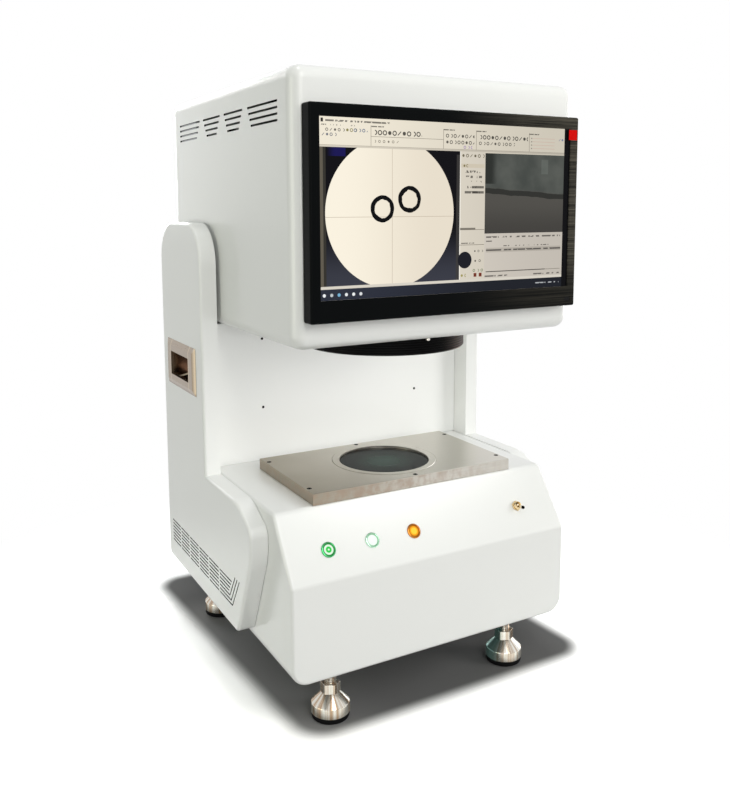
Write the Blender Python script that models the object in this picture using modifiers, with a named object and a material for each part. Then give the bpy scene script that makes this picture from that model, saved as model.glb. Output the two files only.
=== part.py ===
"""A vision measuring machine, built as an assembly of separate pieces.

Lengths are in metres and +Z is up. The front faces -Y, and the origin is on the
floor under the middle of the machine.
"""

import math

import bmesh
import bpy
from mathutils import Matrix, Vector

# Overall sizes
OBJECT_WIDTH = 0.620
OBJECT_DEPTH = 0.618
HOUSING_BOTTOM_Z = 0.098
HOUSING_HEIGHT = 0.267
THROAT_HEIGHT = 0.276
HEAD_HEIGHT = 0.426

# Sheet, gaps and cuts
SHEET = 0.0025
SEAT_GAP = 0.0003
SIDE_GAP = 0.0006
OVERRUN = 0.004
WELD = 0.00001
EDGE_ANGLE = math.radians(35)
ARC_STEP = math.radians(18)

# Side casings, with the upright above the deck
CASING_THICKNESS = 0.031
CASING_EDGE_RADIUS = 0.006
CASING_EDGE_STEPS = 2
CASING_BOTTOM_RISE = 0.032
CASING_FRONT_SETBACK = 0.090
CASING_TOE_SETBACK = 0.070
CASING_CHIN_DROP = 0.080
CASING_SHOULDER_DROP = 0.032
CASING_SHOULDER_RUN = 0.064
CASING_BROW_RADIUS = 0.080
CASING_NOSE_RADIUS = 0.022
CASING_CHIN_RADIUS = 0.100
CASING_FOOT_RADIUS = 0.014
UPRIGHT_SETBACK = 0.351
UPRIGHT_HEIGHT = 0.465
UPRIGHT_TOP_FLAT = 0.095
CASING_DOOR_MARGIN = 0.012
CASING_BOSS_RADIUS = 0.009
CASING_BOSS_HEIGHTS = (0.070, 0.340, 0.500)

# Fine vent slots low on each side casing
BASE_VENT_TOP_DROP = 0.1515
BASE_VENT_PITCH = 0.007
BASE_VENT_ROWS = 7
BASE_VENT_HEIGHT = 0.0018
BASE_VENT_REAR_INSET = 0.030
BASE_VENT_FRONT_INSET = 0.0325
BASE_VENT_GAP = 0.0055
BASE_VENT_COLUMNS = 6
BASE_VENT_HOOKS = 3
BASE_VENT_HOOK_STEP = 0.006
BASE_VENT_HOOK_GAP = 0.008
BASE_VENT_HOOK_HEIGHT = 0.0420
BASE_VENT_HOOK_LEAN = math.radians(32.5)

# Handles let into the uprights
HANDLE_LENGTH = 0.175
HANDLE_HEIGHT = 0.092
HANDLE_BEVEL = 0.0115
HANDLE_STANDOFF = 0.005
HANDLE_MOUTH_LENGTH = 0.109
HANDLE_MOUTH_HEIGHT = 0.046
HANDLE_WALL = 0.002
HANDLE_BACK_GAP = 0.0005
HANDLE_HEIGHT_ABOVE_DECK = 0.1875

# Base housing, with the sloped control panel
SLOPE_RUN = 0.070
SLOPE_RISE = 0.101
HOUSING_SIDE_RADIUS = 0.007
HOUSING_FLOOR_RADIUS = 0.030
HOUSING_FRONT_RADIUS = 0.008
SLOPE_FOOT_RADIUS = 0.010
SLOPE_TOP_RADIUS = 0.012
HOUSING_FLOOR_LIP = 0.018
HOUSING_REAR_LAP = 0.036

# Stage
STAGE_WIDTH = 0.409
STAGE_DEPTH = 0.234
STAGE_THICKNESS = 0.0204
STAGE_LIP = 0.002
STAGE_EDGE_RADIUS = 0.001
STAGE_REAR_GAP = 0.052
STAGE_BORE_RADIUS = 0.080
STAGE_RING_RADIUS = 0.098
STAGE_RING_WIDTH = 0.0135
STAGE_RING_THICKNESS = 0.0040
STAGE_RING_PROUD = 0.0005
GLASS_THICKNESS = 0.006
STAGE_SCREW_RADIUS = 0.0042
STAGE_SCREW_HEAD = 0.0045
STAGE_SCREW_SINK = 0.0008
STAGE_SCREW_SOCKET_RADIUS = 0.0023
STAGE_SCREW_SOCKET_DEPTH = 0.0022
STAGE_SCREW_SIDE_INSET = 0.007
STAGE_SCREW_END_INSET = 0.007
STAGE_SCREW_CORNER_INSET = 0.030

# Backlight under the stage
BACKLIGHT_RADIUS = 0.092
BACKLIGHT_WALL = 0.003
CONDENSER_RADIUS = 0.0885
CONDENSER_SEAT_WIDTH = 0.005
CONDENSER_SEAT_DEPTH = 0.030
CONDENSER_RIM = 0.004
CONDENSER_CROWN = 0.016
LAMP_RADIUS = 0.030
LAMP_HEIGHT = 0.034
LAMP_FIN_RADIUS = 0.042
LAMP_FIN_HEIGHT = 0.010

# Stage support under the deck
SUPPORT_WIDTH = 0.384
SUPPORT_DEPTH = 0.200
SUPPORT_LEG = 0.016
SUPPORT_TOP = 0.012

# Base frame
BASE_PLATE_RISE = 0.034
BASE_PLATE_THICKNESS = 0.010
BASE_BOSS_RADIUS = 0.022
BASE_BOSS_DROP = 0.026
FRONT_FOOT_SIDE_INSET = 0.094
REAR_FOOT_SIDE_INSET = 0.060
FRONT_FOOT_SETBACK = 0.054
REAR_FOOT_INSET = 0.054

# Levelling feet
PAD_HEIGHT = 0.0092
PAD_RADIUS = 0.0325
PAD_EDGE = 0.0012
FOOT_RADIUS = 0.0335
FOOT_BAND = 0.0175
FOOT_CONE = 0.0165
FOOT_TOP_RADIUS = 0.0165
FOOT_EDGE = 0.0010
STUD_RADIUS = 0.010
STUD_SEAT_DEPTH = 0.014
STUD_END_GAP = 0.008
STUD_BORE_GAP = 0.0004
HEX_ACROSS_FLATS = 0.030
HEX_HEIGHT = 0.017
FOOT_STEPS = 20

# Column frame that carries the head
COLUMN_POST_WIDTH = 0.040
COLUMN_PANEL_GAP = 0.0752
COLUMN_FOOT = 0.038
COLUMN_HEAD = 0.044
THROAT_PANEL_SETBACK = 0.044
PANEL_SCREW_RADIUS = 0.0016
PANEL_SCREW_SIDE_INSET = 0.1044
PANEL_SCREW_HEIGHTS = (0.106, 0.249)

# Head housing
HEAD_CASING_GAP = 0.008
HEAD_RADIUS = 0.022
HEAD_EDGE_STEPS = 3
HEAD_OVERHANG = 0.022
HEAD_SIDE_GAP = 0.0003
HEAD_COLUMN_MARGIN = 0.008

# Vent slots on the sides of the head, placed by shares of its depth from the front
HEAD_VENT_TOP_DROP = 0.0495
HEAD_VENT_PITCH = 0.0097
HEAD_VENT_ROWS = 4
HEAD_VENT_HEIGHT = 0.0034
HEAD_VENT_START_SHARES = (0.0881, 0.3339, 0.5186, 0.7051)
HEAD_VENT_END_SHARES = (0.2949, 0.4831, 0.6712, 0.9119)
HEAD_VENT_START_SLANTS = (0.0, 0.0056, 0.0058, 0.006)
HEAD_VENT_END_SLANTS = (0.0046, 0.0052, 0.006, 0.0)

# Covers at the back
HEAD_COVER_SIDE_MARGIN = 0.051
HEAD_COVER_END_MARGIN = 0.063
HEAD_COVER_LAP = 0.010
LOUVRE_LENGTH = 0.150
LOUVRE_HEIGHT = 0.004
LOUVRE_PITCH = 0.012
LOUVRE_COUNT = 6
LOUVRE_SPACING = 0.190
REAR_LOUVRE_DROP = 0.060
INLET_WIDTH = 0.048
INLET_HEIGHT = 0.030
INLET_FLANGE = 0.002
INLET_BODY_WIDTH = 0.028
INLET_BODY_HEIGHT = 0.022
INLET_BODY_DEPTH = 0.026
INLET_SOCKET_WIDTH = 0.0245
INLET_SOCKET_HEIGHT = 0.0165
INLET_SOCKET_DEPTH = 0.017
INLET_SIDE_INSET = 0.1384
INLET_RISE = 0.170

# Monitor
MONITOR_SIDE_MARGIN = 0.0145
MONITOR_TOP_MARGIN = 0.058
MONITOR_STANDOFF = 0.028
MONITOR_RISE = 0.044
MONITOR_EDGE_RADIUS = 0.004
MONITOR_EDGE_STEPS = 2
SCREEN_SIDE_BORDER = 0.017
SCREEN_TOP_BORDER = 0.020
SCREEN_CHIN = 0.0345
SCREEN_RECESS = 0.0030
SCREEN_LAP = 0.004
SCREEN_THICKNESS = 0.010
MONITOR_BACK_SIDE_INSET = 0.0185
MONITOR_BACK_END_INSET = 0.027
MONITOR_BACK_DEPTH = 0.038
MONITOR_BACK_WALL = 0.003
MONITOR_BACK_CHAMFER = 0.010
MONITOR_OPENING_GAP = 0.003
INDICATOR_WIDTH = 0.0117
INDICATOR_HEIGHT = 0.0068
INDICATOR_DEPTH = 0.0020
INDICATOR_SINK = 0.0002
INDICATOR_SIDE_INSET = 0.0177
INDICATOR_RISE = 0.0122
BRACKET_RAIL_WIDTH = 0.030
BRACKET_RAIL_DEPTH = 0.010
BRACKET_RAIL_INSET = 0.048
BRACKET_BAR_HEIGHT = 0.100

# Lens and camera
LENS_RADIUS = 0.147
LENS_DROP = 0.0335
LENS_RING_HEIGHT = 0.052
LENS_LIP = 0.0045
LENS_MOUTH_RADIUS = 0.120
LENS_SEAT_RADIUS = 0.129
LENS_GROOVE_DEPTH = 0.0022
LENS_GROOVE_PITCH = 0.0085
LENS_GROOVE_COUNT = 3
LENS_GROOVE_RISE = 0.0060
LENS_CHAMFER = 0.0025
LENS_HOLE_GAP = 0.003
LENS_GLASS_RIM = 0.006
LENS_GLASS_CROWN = 0.010
LENS_STEPS = 32
BARREL_RADIUS = 0.128
BARREL_FOOT_RADIUS = 0.140
BARREL_FOOT_HEIGHT = 0.012
BARREL_NECK_HEIGHT = 0.040
BARREL_FLANGE_HEIGHT = 0.010
BARREL_ROOF_GAP = 0.0414
BARREL_TOP_RADIUS = 0.056
BARREL_TOP_HEIGHT = 0.045
BARREL_WALL = 0.007
BARREL_STEPS = 24
LENS_BRACKET_THICKNESS = 0.012
LENS_BRACKET_SIDE_GAP = 0.011
LENS_BRACKET_FRONT = 0.146
LENS_BRACKET_CORNER = 0.110
LOCK_SCREW_RADIUS = 0.0040
LOCK_SCREW_LENGTH = 0.0090
LOCK_SCREW_RISE = 0.0270
LOCK_SCREW_ANGLE = math.radians(-1)
CAMERA_SIDE = 0.078
CAMERA_HEIGHT = 0.086
CAMERA_MOUNT_HEIGHT = 0.010
CAMERA_EDGE_RADIUS = 0.003

# Push buttons and switch on the sloped panel
BUTTON_RADIUS = 0.0128
BUTTON_RIM = 0.0020
BUTTON_BARREL_RADIUS = 0.0108
BUTTON_CAP_RADIUS = 0.0096
BUTTON_CAP_GAP = 0.0003
BUTTON_CAP_RISE = 0.0014
BUTTON_CAP_DEPTH = 0.0100
BUTTON_TRAVEL = 0.0020
BUTTON_DEPTH = 0.0300
BUTTON_NUT_RADIUS = 0.0135
BUTTON_NUT_HEIGHT = 0.0040
BUTTON_HOLE_GAP = 0.0004
BUTTON_SIDE_INSET = 0.0794
BUTTON_SPACING = 0.082
BUTTON_STEPS = 16
BUTTONS_DOWN_SLOPE = 0.0735
SWITCH_DOWN_SLOPE = 0.0690
SWITCH_SIDE_INSET = 0.0882
SWITCH_NUT_RADIUS = 0.0096
SWITCH_NUT_HEIGHT = 0.0026
SWITCH_BUSH_RADIUS = 0.0064
SWITCH_BUSH_HEIGHT = 0.0085
SWITCH_BORE_RADIUS = 0.0036
SWITCH_MOUTH_RADIUS = 0.0055
SWITCH_BORE_DEPTH = 0.0120
SWITCH_BODY_WIDTH = 0.0130
SWITCH_BODY_LENGTH = 0.0260
SWITCH_BODY_DEPTH = 0.0180
LEVER_PIVOT_RISE = 0.0050
LEVER_BALL_RADIUS = 0.0030
LEVER_NECK_RADIUS = 0.0014
LEVER_TIP_RADIUS = 0.0030
LEVER_LENGTH = 0.0190
LEVER_TILT = math.radians(32)
LEVER_STEPS = 12

# Computer and power supply
COMPUTER_HEIGHT = 0.075
SUPPLY_WIDTH = 0.120
SUPPLY_HEIGHT = 0.060
UNIT_SIDE_GAP = 0.042
UNIT_END_GAP = 0.004
UNIT_EDGE_RADIUS = 0.003

# Heights and places that follow from these sizes
DECK_Z = HOUSING_BOTTOM_Z + HOUSING_HEIGHT
HEAD_BOTTOM_Z = DECK_Z + THROAT_HEIGHT
HEAD_TOP_Z = HEAD_BOTTOM_Z + HEAD_HEIGHT
MONITOR_FRONT_Y = -OBJECT_DEPTH / 2
HEAD_FRONT_Y = MONITOR_FRONT_Y + MONITOR_STANDOFF
HEAD_REAR_Y = OBJECT_DEPTH / 2
CASING_REAR_Y = HEAD_REAR_Y - HEAD_OVERHANG
UPRIGHT_FRONT_Y = MONITOR_FRONT_Y + UPRIGHT_SETBACK
UPRIGHT_TOP_RADIUS = (CASING_REAR_Y - UPRIGHT_FRONT_Y - UPRIGHT_TOP_FLAT) / 2
THROAT_PANEL_Y = UPRIGHT_FRONT_Y + THROAT_PANEL_SETBACK
CASING_OUTER_X = OBJECT_WIDTH / 2
CASING_INNER_X = CASING_OUTER_X - CASING_THICKNESS
HANDLE_DEPTH = CASING_THICKNESS - SHEET - HANDLE_BACK_GAP
CASING_BOTTOM_Z = HOUSING_BOTTOM_Z + CASING_BOTTOM_RISE
CASING_TOP_Z = DECK_Z + UPRIGHT_HEIGHT
HOUSING_HALF_WIDTH = CASING_INNER_X - SIDE_GAP
PANEL_SCREW_X = HOUSING_HALF_WIDTH - PANEL_SCREW_SIDE_INSET
INLET_X = HOUSING_HALF_WIDTH - INLET_SIDE_INSET
SWITCH_X = HOUSING_HALF_WIDTH - SWITCH_SIDE_INSET
HEAD_WIDTH = 2 * (CASING_INNER_X - HEAD_CASING_GAP)
HEAD_DEPTH = HEAD_REAR_Y - HEAD_FRONT_Y
HEAD_COVER_WIDTH = HEAD_WIDTH - 2 * HEAD_COVER_SIDE_MARGIN
HEAD_COVER_HEIGHT = HEAD_HEIGHT - 2 * HEAD_COVER_END_MARGIN
MONITOR_WIDTH = HEAD_WIDTH - 2 * MONITOR_SIDE_MARGIN
MONITOR_HEIGHT = HEAD_HEIGHT - MONITOR_RISE - MONITOR_TOP_MARGIN
SCREEN_WIDTH = MONITOR_WIDTH - 2 * SCREEN_SIDE_BORDER
SCREEN_HEIGHT = MONITOR_HEIGHT - SCREEN_CHIN - SCREEN_TOP_BORDER
MONITOR_BACK_WIDTH = MONITOR_WIDTH - 2 * MONITOR_BACK_SIDE_INSET
MONITOR_BACK_HEIGHT = MONITOR_HEIGHT - 2 * MONITOR_BACK_END_INSET
INDICATOR_X = MONITOR_WIDTH / 2 - INDICATOR_SIDE_INSET
BRACKET_RAIL_X = MONITOR_BACK_WIDTH / 2 - BRACKET_RAIL_INSET
LENS_BRACKET_WIDTH = HEAD_WIDTH - 2 * LENS_BRACKET_SIDE_GAP
STAGE_REAR_Y = THROAT_PANEL_Y - STAGE_REAR_GAP
STAGE_FRONT_Y = STAGE_REAR_Y - STAGE_DEPTH
STAGE_CENTRE_Y = (STAGE_REAR_Y + STAGE_FRONT_Y) / 2
STAGE_BOTTOM_Z = DECK_Z + SEAT_GAP
STAGE_TOP_Z = STAGE_BOTTOM_Z + STAGE_THICKNESS
SLOPE_TOP_Y = STAGE_FRONT_Y - STAGE_LIP
CONSOLE_FRONT_Y = SLOPE_TOP_Y - SLOPE_RUN
SLOPE_BOTTOM_Z = DECK_Z - SLOPE_RISE
SLOPE_LENGTH = math.hypot(SLOPE_RUN, SLOPE_RISE)
CASING_FRONT_Y = CONSOLE_FRONT_Y + CASING_FRONT_SETBACK
CASING_TOE_Y = CASING_FRONT_Y + CASING_TOE_SETBACK
BASE_VENT_REAR_Y = CASING_REAR_Y - BASE_VENT_REAR_INSET
BASE_VENT_FRONT_Y = CASING_TOE_Y + BASE_VENT_FRONT_INSET
BASE_VENT_STEP = (BASE_VENT_REAR_Y - BASE_VENT_FRONT_Y + BASE_VENT_GAP) / BASE_VENT_COLUMNS
BASE_VENT_LENGTH = BASE_VENT_STEP - BASE_VENT_GAP
BASE_VENT_FIRST_HOOK_ROW = BASE_VENT_ROWS - BASE_VENT_HOOKS
FRONT_FOOT_X = CASING_INNER_X - FRONT_FOOT_SIDE_INSET
REAR_FOOT_X = CASING_INNER_X - REAR_FOOT_SIDE_INSET
BASE_PLATE_BOTTOM_Z = HOUSING_BOTTOM_Z + BASE_PLATE_RISE
BASE_PLATE_TOP_Z = BASE_PLATE_BOTTOM_Z + BASE_PLATE_THICKNESS
FRONT_FOOT_Y = CONSOLE_FRONT_Y + FRONT_FOOT_SETBACK
REAR_FOOT_Y = CASING_REAR_Y - REAR_FOOT_INSET
COLUMN_REAR_Y = CASING_REAR_Y - SHEET - SEAT_GAP
COLUMN_FRONT_Y = THROAT_PANEL_Y + SHEET + COLUMN_PANEL_GAP
COLUMN_HALF_WIDTH = HEAD_WIDTH / 2 - SHEET - HEAD_SIDE_GAP
COLUMN_BOTTOM_Z = BASE_PLATE_TOP_Z + SEAT_GAP
COLUMN_TOP_Z = HEAD_TOP_Z - SHEET - SEAT_GAP
LENS_BOTTOM_Z = HEAD_BOTTOM_Z - LENS_DROP
LENS_RING_TOP_Z = LENS_BOTTOM_Z + LENS_RING_HEIGHT
MONITOR_BOTTOM_Z = HEAD_BOTTOM_Z + MONITOR_RISE
MONITOR_TOP_Z = MONITOR_BOTTOM_Z + MONITOR_HEIGHT
SCREEN_BOTTOM_Z = MONITOR_BOTTOM_Z + SCREEN_CHIN
SCREEN_CENTRE_Z = SCREEN_BOTTOM_Z + SCREEN_HEIGHT / 2
SCREEN_FRONT_Y = MONITOR_FRONT_Y + SCREEN_RECESS + SEAT_GAP
SCREEN_REAR_Y = SCREEN_FRONT_Y + SCREEN_THICKNESS
MONITOR_BACK_FRONT_Y = SCREEN_REAR_Y + SEAT_GAP
MONITOR_BACK_REAR_Y = MONITOR_BACK_FRONT_Y + MONITOR_BACK_DEPTH
HANDLE_CENTRE_Y = (UPRIGHT_FRONT_Y + CASING_REAR_Y) / 2
HANDLE_CENTRE_Z = DECK_Z + HANDLE_HEIGHT_ABOVE_DECK
FOOT_TOP_Z = PAD_HEIGHT + SEAT_GAP + FOOT_BAND + FOOT_CONE

WHITE_PAINT = ("white_paint", (0.86, 0.87, 0.85), 0.28, 0.0)
BRUSHED_STEEL = ("brushed_steel", (0.62, 0.60, 0.56), 0.34, 1.0)
SATIN_NICKEL = ("satin_nickel", (0.60, 0.57, 0.53), 0.30, 1.0)
CHROME = ("chrome", (0.78, 0.77, 0.74), 0.12, 1.0)
BLACK_RUBBER = ("black_rubber", (0.02, 0.02, 0.02), 0.75, 0.0)
BLACK_ANODISED = ("black_anodised", (0.025, 0.025, 0.027), 0.42, 0.6)
BLACK_PLASTIC = ("black_plastic", (0.03, 0.03, 0.035), 0.38, 0.0)
SCREEN_GLASS = ("screen_glass", (0.05, 0.06, 0.07), 0.12, 0.0)
STAGE_GLASS = ("stage_glass", (0.10, 0.14, 0.13), 0.05, 0.0)
LENS_GLASS = ("lens_glass", (0.12, 0.10, 0.18), 0.04, 0.0)
GREY_PAINT = ("grey_paint", (0.30, 0.31, 0.32), 0.50, 0.0)
CAST_ALUMINIUM = ("cast_aluminium", (0.58, 0.59, 0.60), 0.48, 0.9)
GREEN_LENS = ("green_lens", (0.25, 0.85, 0.35), 0.25, 0.0)
CLEAR_LENS = ("clear_lens", (0.90, 0.97, 0.92), 0.20, 0.0)
AMBER_LENS = ("amber_lens", (0.98, 0.55, 0.08), 0.25, 0.0)


def clear_scene():
    for old in list(bpy.data.objects):
        bpy.data.objects.remove(old)


def make_collection(name):
    collection = bpy.data.collections.new(name)
    bpy.context.scene.collection.children.link(collection)
    return collection


clear_scene()
PARTS = make_collection("vision_measuring_machine")
CUTTERS = make_collection("cutters")


def material(finish):
    name, colour, roughness, metallic = finish
    made = bpy.data.materials.get(name)
    if made is None:
        made = bpy.data.materials.new(name)
        made.use_nodes = True
        shader = made.node_tree.nodes["Principled BSDF"]
        shader.inputs["Base Color"].default_value = (*colour, 1)
        shader.inputs["Roughness"].default_value = roughness
        shader.inputs["Metallic"].default_value = metallic
        made.diffuse_color = (*colour, 1)
    return made


def add_object(name, mesh, finish=None, matrix=None):
    """An object for a mesh: a part when it has a finish, otherwise a cutter."""
    made = bpy.data.objects.new(name, mesh)
    if matrix is not None:
        made.matrix_world = matrix
    if finish is None:
        CUTTERS.objects.link(made)
        made.hide_render = True
        made.display_type = "WIRE"
    else:
        PARTS.objects.link(made)
        mesh.materials.clear()
        mesh.materials.append(material(finish))
    return made


def mesh_from(bm, name):
    bmesh.ops.recalc_face_normals(bm, faces=bm.faces)
    mesh = bpy.data.meshes.new(name)
    bm.to_mesh(mesh)
    bm.free()
    return mesh


def smooth(made, angle=EDGE_ANGLE):
    made.data.shade_smooth()
    made.data.set_sharp_from_angle(angle=angle)
    return made


def box_matrix(low, high, turn=None):
    low, high = Vector(low), Vector(high)
    scale = Matrix.Diagonal((*(high - low), 1))
    turned = turn.to_4x4() if turn else Matrix.Identity(4)
    return Matrix.Translation((low + high) / 2) @ turned @ scale


def boxes(name, matrices, finish=None):
    """One mesh of separate boxes, each a unit cube placed by its matrix."""
    bm = bmesh.new()
    for matrix in matrices:
        bmesh.ops.create_cube(bm, size=1, matrix=matrix)
    return add_object(name, mesh_from(bm, name), finish)


def box(name, low, high, finish=None):
    """A box whose origin is at its centre."""
    low, high = Vector(low), Vector(high)
    bm = bmesh.new()
    bmesh.ops.create_cube(bm, size=1, matrix=Matrix.Diagonal((*(high - low), 1)))
    return add_object(name, mesh_from(bm, name), finish, Matrix.Translation((low + high) / 2))


def cylinder(name, radius, low, high, finish=None, matrix=None, steps=32, top_radius=None):
    """A cylinder or cone along local Z from low to high."""
    bm = bmesh.new()
    bmesh.ops.create_cone(
        bm,
        cap_ends=True,
        segments=steps,
        radius1=radius,
        radius2=radius if top_radius is None else top_radius,
        depth=high - low,
        matrix=Matrix.Translation((0, 0, (low + high) / 2)),
    )
    return smooth(add_object(name, mesh_from(bm, name), finish, matrix))


def turned(name, profile, finish=None, matrix=None, steps=32):
    """A solid turned about local Z. The profile runs down its outer side, as (radius, height)."""
    mesh = bpy.data.meshes.new(name)
    closed = profile[0][0] > 0 and profile[-1][0] > 0
    count = len(profile)
    edges = [(i, (i + 1) % count) for i in range(count if closed else count - 1)]
    mesh.from_pydata([(radius, 0, height) for radius, height in profile], edges, [])
    made = add_object(name, mesh, finish, matrix)
    screw = made.modifiers.new("turn", "SCREW")
    screw.steps = steps
    screw.render_steps = steps
    screw.use_merge_vertices = True
    screw.merge_threshold = WELD
    screw.use_smooth_shade = True
    return made


def rounded_outline(corners):
    """Points of a closed outline. Each corner is (u, v, radius) and is rounded by an arc."""
    points = []
    count = len(corners)
    for i, (u, v, radius) in enumerate(corners):
        here = Vector((u, v))
        before = (Vector(corners[i - 1][:2]) - here).normalized()
        after = (Vector(corners[(i + 1) % count][:2]) - here).normalized()
        opening = before.angle(after)
        if radius <= 0 or math.pi - opening < ARC_STEP / 2:
            points.append(tuple(here))
            continue
        reach = radius / math.tan(opening / 2)
        centre = here + (before + after).normalized() * radius / math.sin(opening / 2)
        start = here + before * reach - centre
        sweep = math.pi - opening
        if before.x * after.y - before.y * after.x > 0:
            sweep = -sweep
        steps = max(2, math.ceil(abs(sweep) / ARC_STEP))
        for k in range(steps + 1):
            turn = Matrix.Rotation(sweep * k / steps, 2)
            points.append(tuple(centre + turn @ start))
    return points


def inset(corners, distance):
    """The corners of an outline that runs anticlockwise, moved inwards, with arcs to match."""
    moved = []
    count = len(corners)
    for i, (u, v, radius) in enumerate(corners):
        here = Vector((u, v))
        into = (here - Vector(corners[i - 1][:2])).normalized()
        out = (Vector(corners[(i + 1) % count][:2]) - here).normalized()
        first = Vector((-into.y, into.x))
        second = Vector((-out.y, out.x))
        spot = here + (first + second) * distance / (1 + first.dot(second))
        convex = into.x * out.y - into.y * out.x > 0
        left = radius - distance if convex else radius + distance
        moved.append((spot.x, spot.y, max(left, 0) if radius > 0 else 0))
    return moved


PLANES = {
    "XY": Matrix(((1, 0, 0), (0, 1, 0), (0, 0, 1))),
    "YZ": Matrix(((0, 0, 1), (1, 0, 0), (0, 1, 0))),
    "ZX": Matrix(((0, 1, 0), (0, 0, 1), (1, 0, 0))),
}


def circle_points(centre, radius, steps=32):
    spots = []
    for k in range(steps):
        angle = math.tau * k / steps
        spots.append((centre[0] + radius * math.cos(angle), centre[1] + radius * math.sin(angle)))
    return spots


def plate(name, outlines, plane, low, high, finish=None):
    """A flat outline, and holes in it, extruded from low to high across its plane."""
    curve = bpy.data.curves.new(name, "CURVE")
    curve.dimensions = "2D"
    curve.fill_mode = "BOTH"
    curve.extrude = (high - low) / 2
    for points in outlines:
        spline = curve.splines.new("POLY")
        spline.points.add(len(points) - 1)
        for point, (u, v) in zip(spline.points, points):
            point.co = (u, v, 0, 1)
        spline.use_cyclic_u = True
    drawn = bpy.data.objects.new(name + "_outline", curve)
    CUTTERS.objects.link(drawn)
    graph = bpy.context.evaluated_depsgraph_get()
    mesh = bpy.data.meshes.new_from_object(drawn.evaluated_get(graph))
    bpy.data.objects.remove(drawn)
    bpy.data.curves.remove(curve)
    bm = bmesh.new()
    bm.from_mesh(mesh)
    bpy.data.meshes.remove(mesh)
    bmesh.ops.remove_doubles(bm, verts=bm.verts, dist=WELD)
    if len(outlines) == 1:
        bmesh.ops.dissolve_limit(bm, angle_limit=WELD, verts=bm.verts, edges=bm.edges)
    bmesh.ops.translate(bm, verts=bm.verts, vec=(0, 0, (low + high) / 2))
    bmesh.ops.rotate(bm, verts=bm.verts, cent=(0, 0, 0), matrix=PLANES[plane])
    return add_object(name, mesh_from(bm, name), finish)


def bevel(made, width, steps=2, angle=EDGE_ANGLE):
    modifier = made.modifiers.new("bevel", "BEVEL")
    modifier.width = width
    modifier.segments = steps
    modifier.limit_method = "ANGLE"
    modifier.angle_limit = angle
    return made


def boolean(made, other, operation):
    modifier = made.modifiers.new(operation.lower(), "BOOLEAN")
    modifier.operation = operation
    modifier.solver = "EXACT"
    modifier.object = other
    return made


def cut(made, *cutters):
    for cutter in cutters:
        boolean(made, cutter, "DIFFERENCE")
    return made


def join(made, *others):
    for other in others:
        boolean(made, other, "UNION")
    return made


def settle(made):
    """Turns the modifiers so far into plain mesh, so that the mesh can be edited."""
    bpy.context.view_layer.update()
    graph = bpy.context.evaluated_depsgraph_get()
    mesh = bpy.data.meshes.new_from_object(made.evaluated_get(graph))
    made.modifiers.clear()
    made.data = mesh
    return made


def slope_frame(x, down):
    """Local Z points out of the sloped panel and local Y up it; the origin is on its face."""
    up = Vector((0, SLOPE_RUN, SLOPE_RISE)) / SLOPE_LENGTH
    out = Vector((0, -SLOPE_RISE, SLOPE_RUN)) / SLOPE_LENGTH
    spot = Vector((x, SLOPE_TOP_Y, DECK_Z)) - up * down
    turn = Matrix((Vector((1, 0, 0)), up, out)).transposed()
    return Matrix.Translation(spot) @ turn.to_4x4()


def casing_corners():
    brow_y = CASING_FRONT_Y + CASING_SHOULDER_RUN
    nose_z = DECK_Z - CASING_SHOULDER_DROP
    return [
        (CASING_TOE_Y, CASING_BOTTOM_Z, CASING_FOOT_RADIUS),
        (CASING_REAR_Y, CASING_BOTTOM_Z, CASING_FOOT_RADIUS),
        (CASING_REAR_Y, CASING_TOP_Z, UPRIGHT_TOP_RADIUS),
        (UPRIGHT_FRONT_Y, CASING_TOP_Z, UPRIGHT_TOP_RADIUS),
        (UPRIGHT_FRONT_Y, DECK_Z, 0),
        (brow_y, DECK_Z, CASING_BROW_RADIUS),
        (CASING_FRONT_Y, nose_z, CASING_NOSE_RADIUS),
        (CASING_FRONT_Y, DECK_Z - CASING_CHIN_DROP, CASING_CHIN_RADIUS),
    ]


def round_rim(made, x, radius, steps):
    """Rounds the edges round the flat face at x."""
    bm = bmesh.new()
    bm.from_mesh(made.data)
    corners = [edge for edge in bm.edges if edge.calc_face_angle() > EDGE_ANGLE]
    rim = [edge for edge in corners if all(abs(end.co.x - x) < WELD for end in edge.verts)]
    bmesh.ops.bevel(
        bm,
        geom=rim,
        offset=radius,
        segments=steps,
        profile=0.5,
        affect="EDGES",
        material=-1,
    )
    bm.to_mesh(made.data)
    bm.free()


def across(side, near, far):
    """Low and high X of a span given by its distances from the middle plane."""
    return (near, far) if side > 0 else (-far, -near)


def base_vent_z(row):
    return DECK_Z - BASE_VENT_TOP_DROP - row * BASE_VENT_PITCH


def base_vent_front(row):
    """Y of a row's front end: the foot of its own hook, or short of the first hook."""
    hook = row - BASE_VENT_FIRST_HOOK_ROW
    if hook >= 0:
        return BASE_VENT_FRONT_Y - hook * BASE_VENT_HOOK_STEP
    rise = base_vent_z(row) - base_vent_z(BASE_VENT_FIRST_HOOK_ROW)
    return BASE_VENT_FRONT_Y - rise * math.tan(BASE_VENT_HOOK_LEAN) + BASE_VENT_HOOK_GAP


def base_vent_rows(side):
    """Horizontal slots in rows, each row of separate lengths running back from the front."""
    x_low, x_high = across(side, CASING_OUTER_X - SHEET - OVERRUN / 2, CASING_OUTER_X + OVERRUN)
    slots = []
    for row in range(BASE_VENT_ROWS):
        z = base_vent_z(row)
        for column in range(BASE_VENT_COLUMNS):
            high = BASE_VENT_REAR_Y - column * BASE_VENT_STEP
            low = high - BASE_VENT_LENGTH
            if column == BASE_VENT_COLUMNS - 1:
                low = base_vent_front(row)
            slots.append(
                box_matrix(
                    (x_low, low, z - BASE_VENT_HEIGHT / 2),
                    (x_high, high, z + BASE_VENT_HEIGHT / 2),
                )
            )
    return slots


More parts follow.
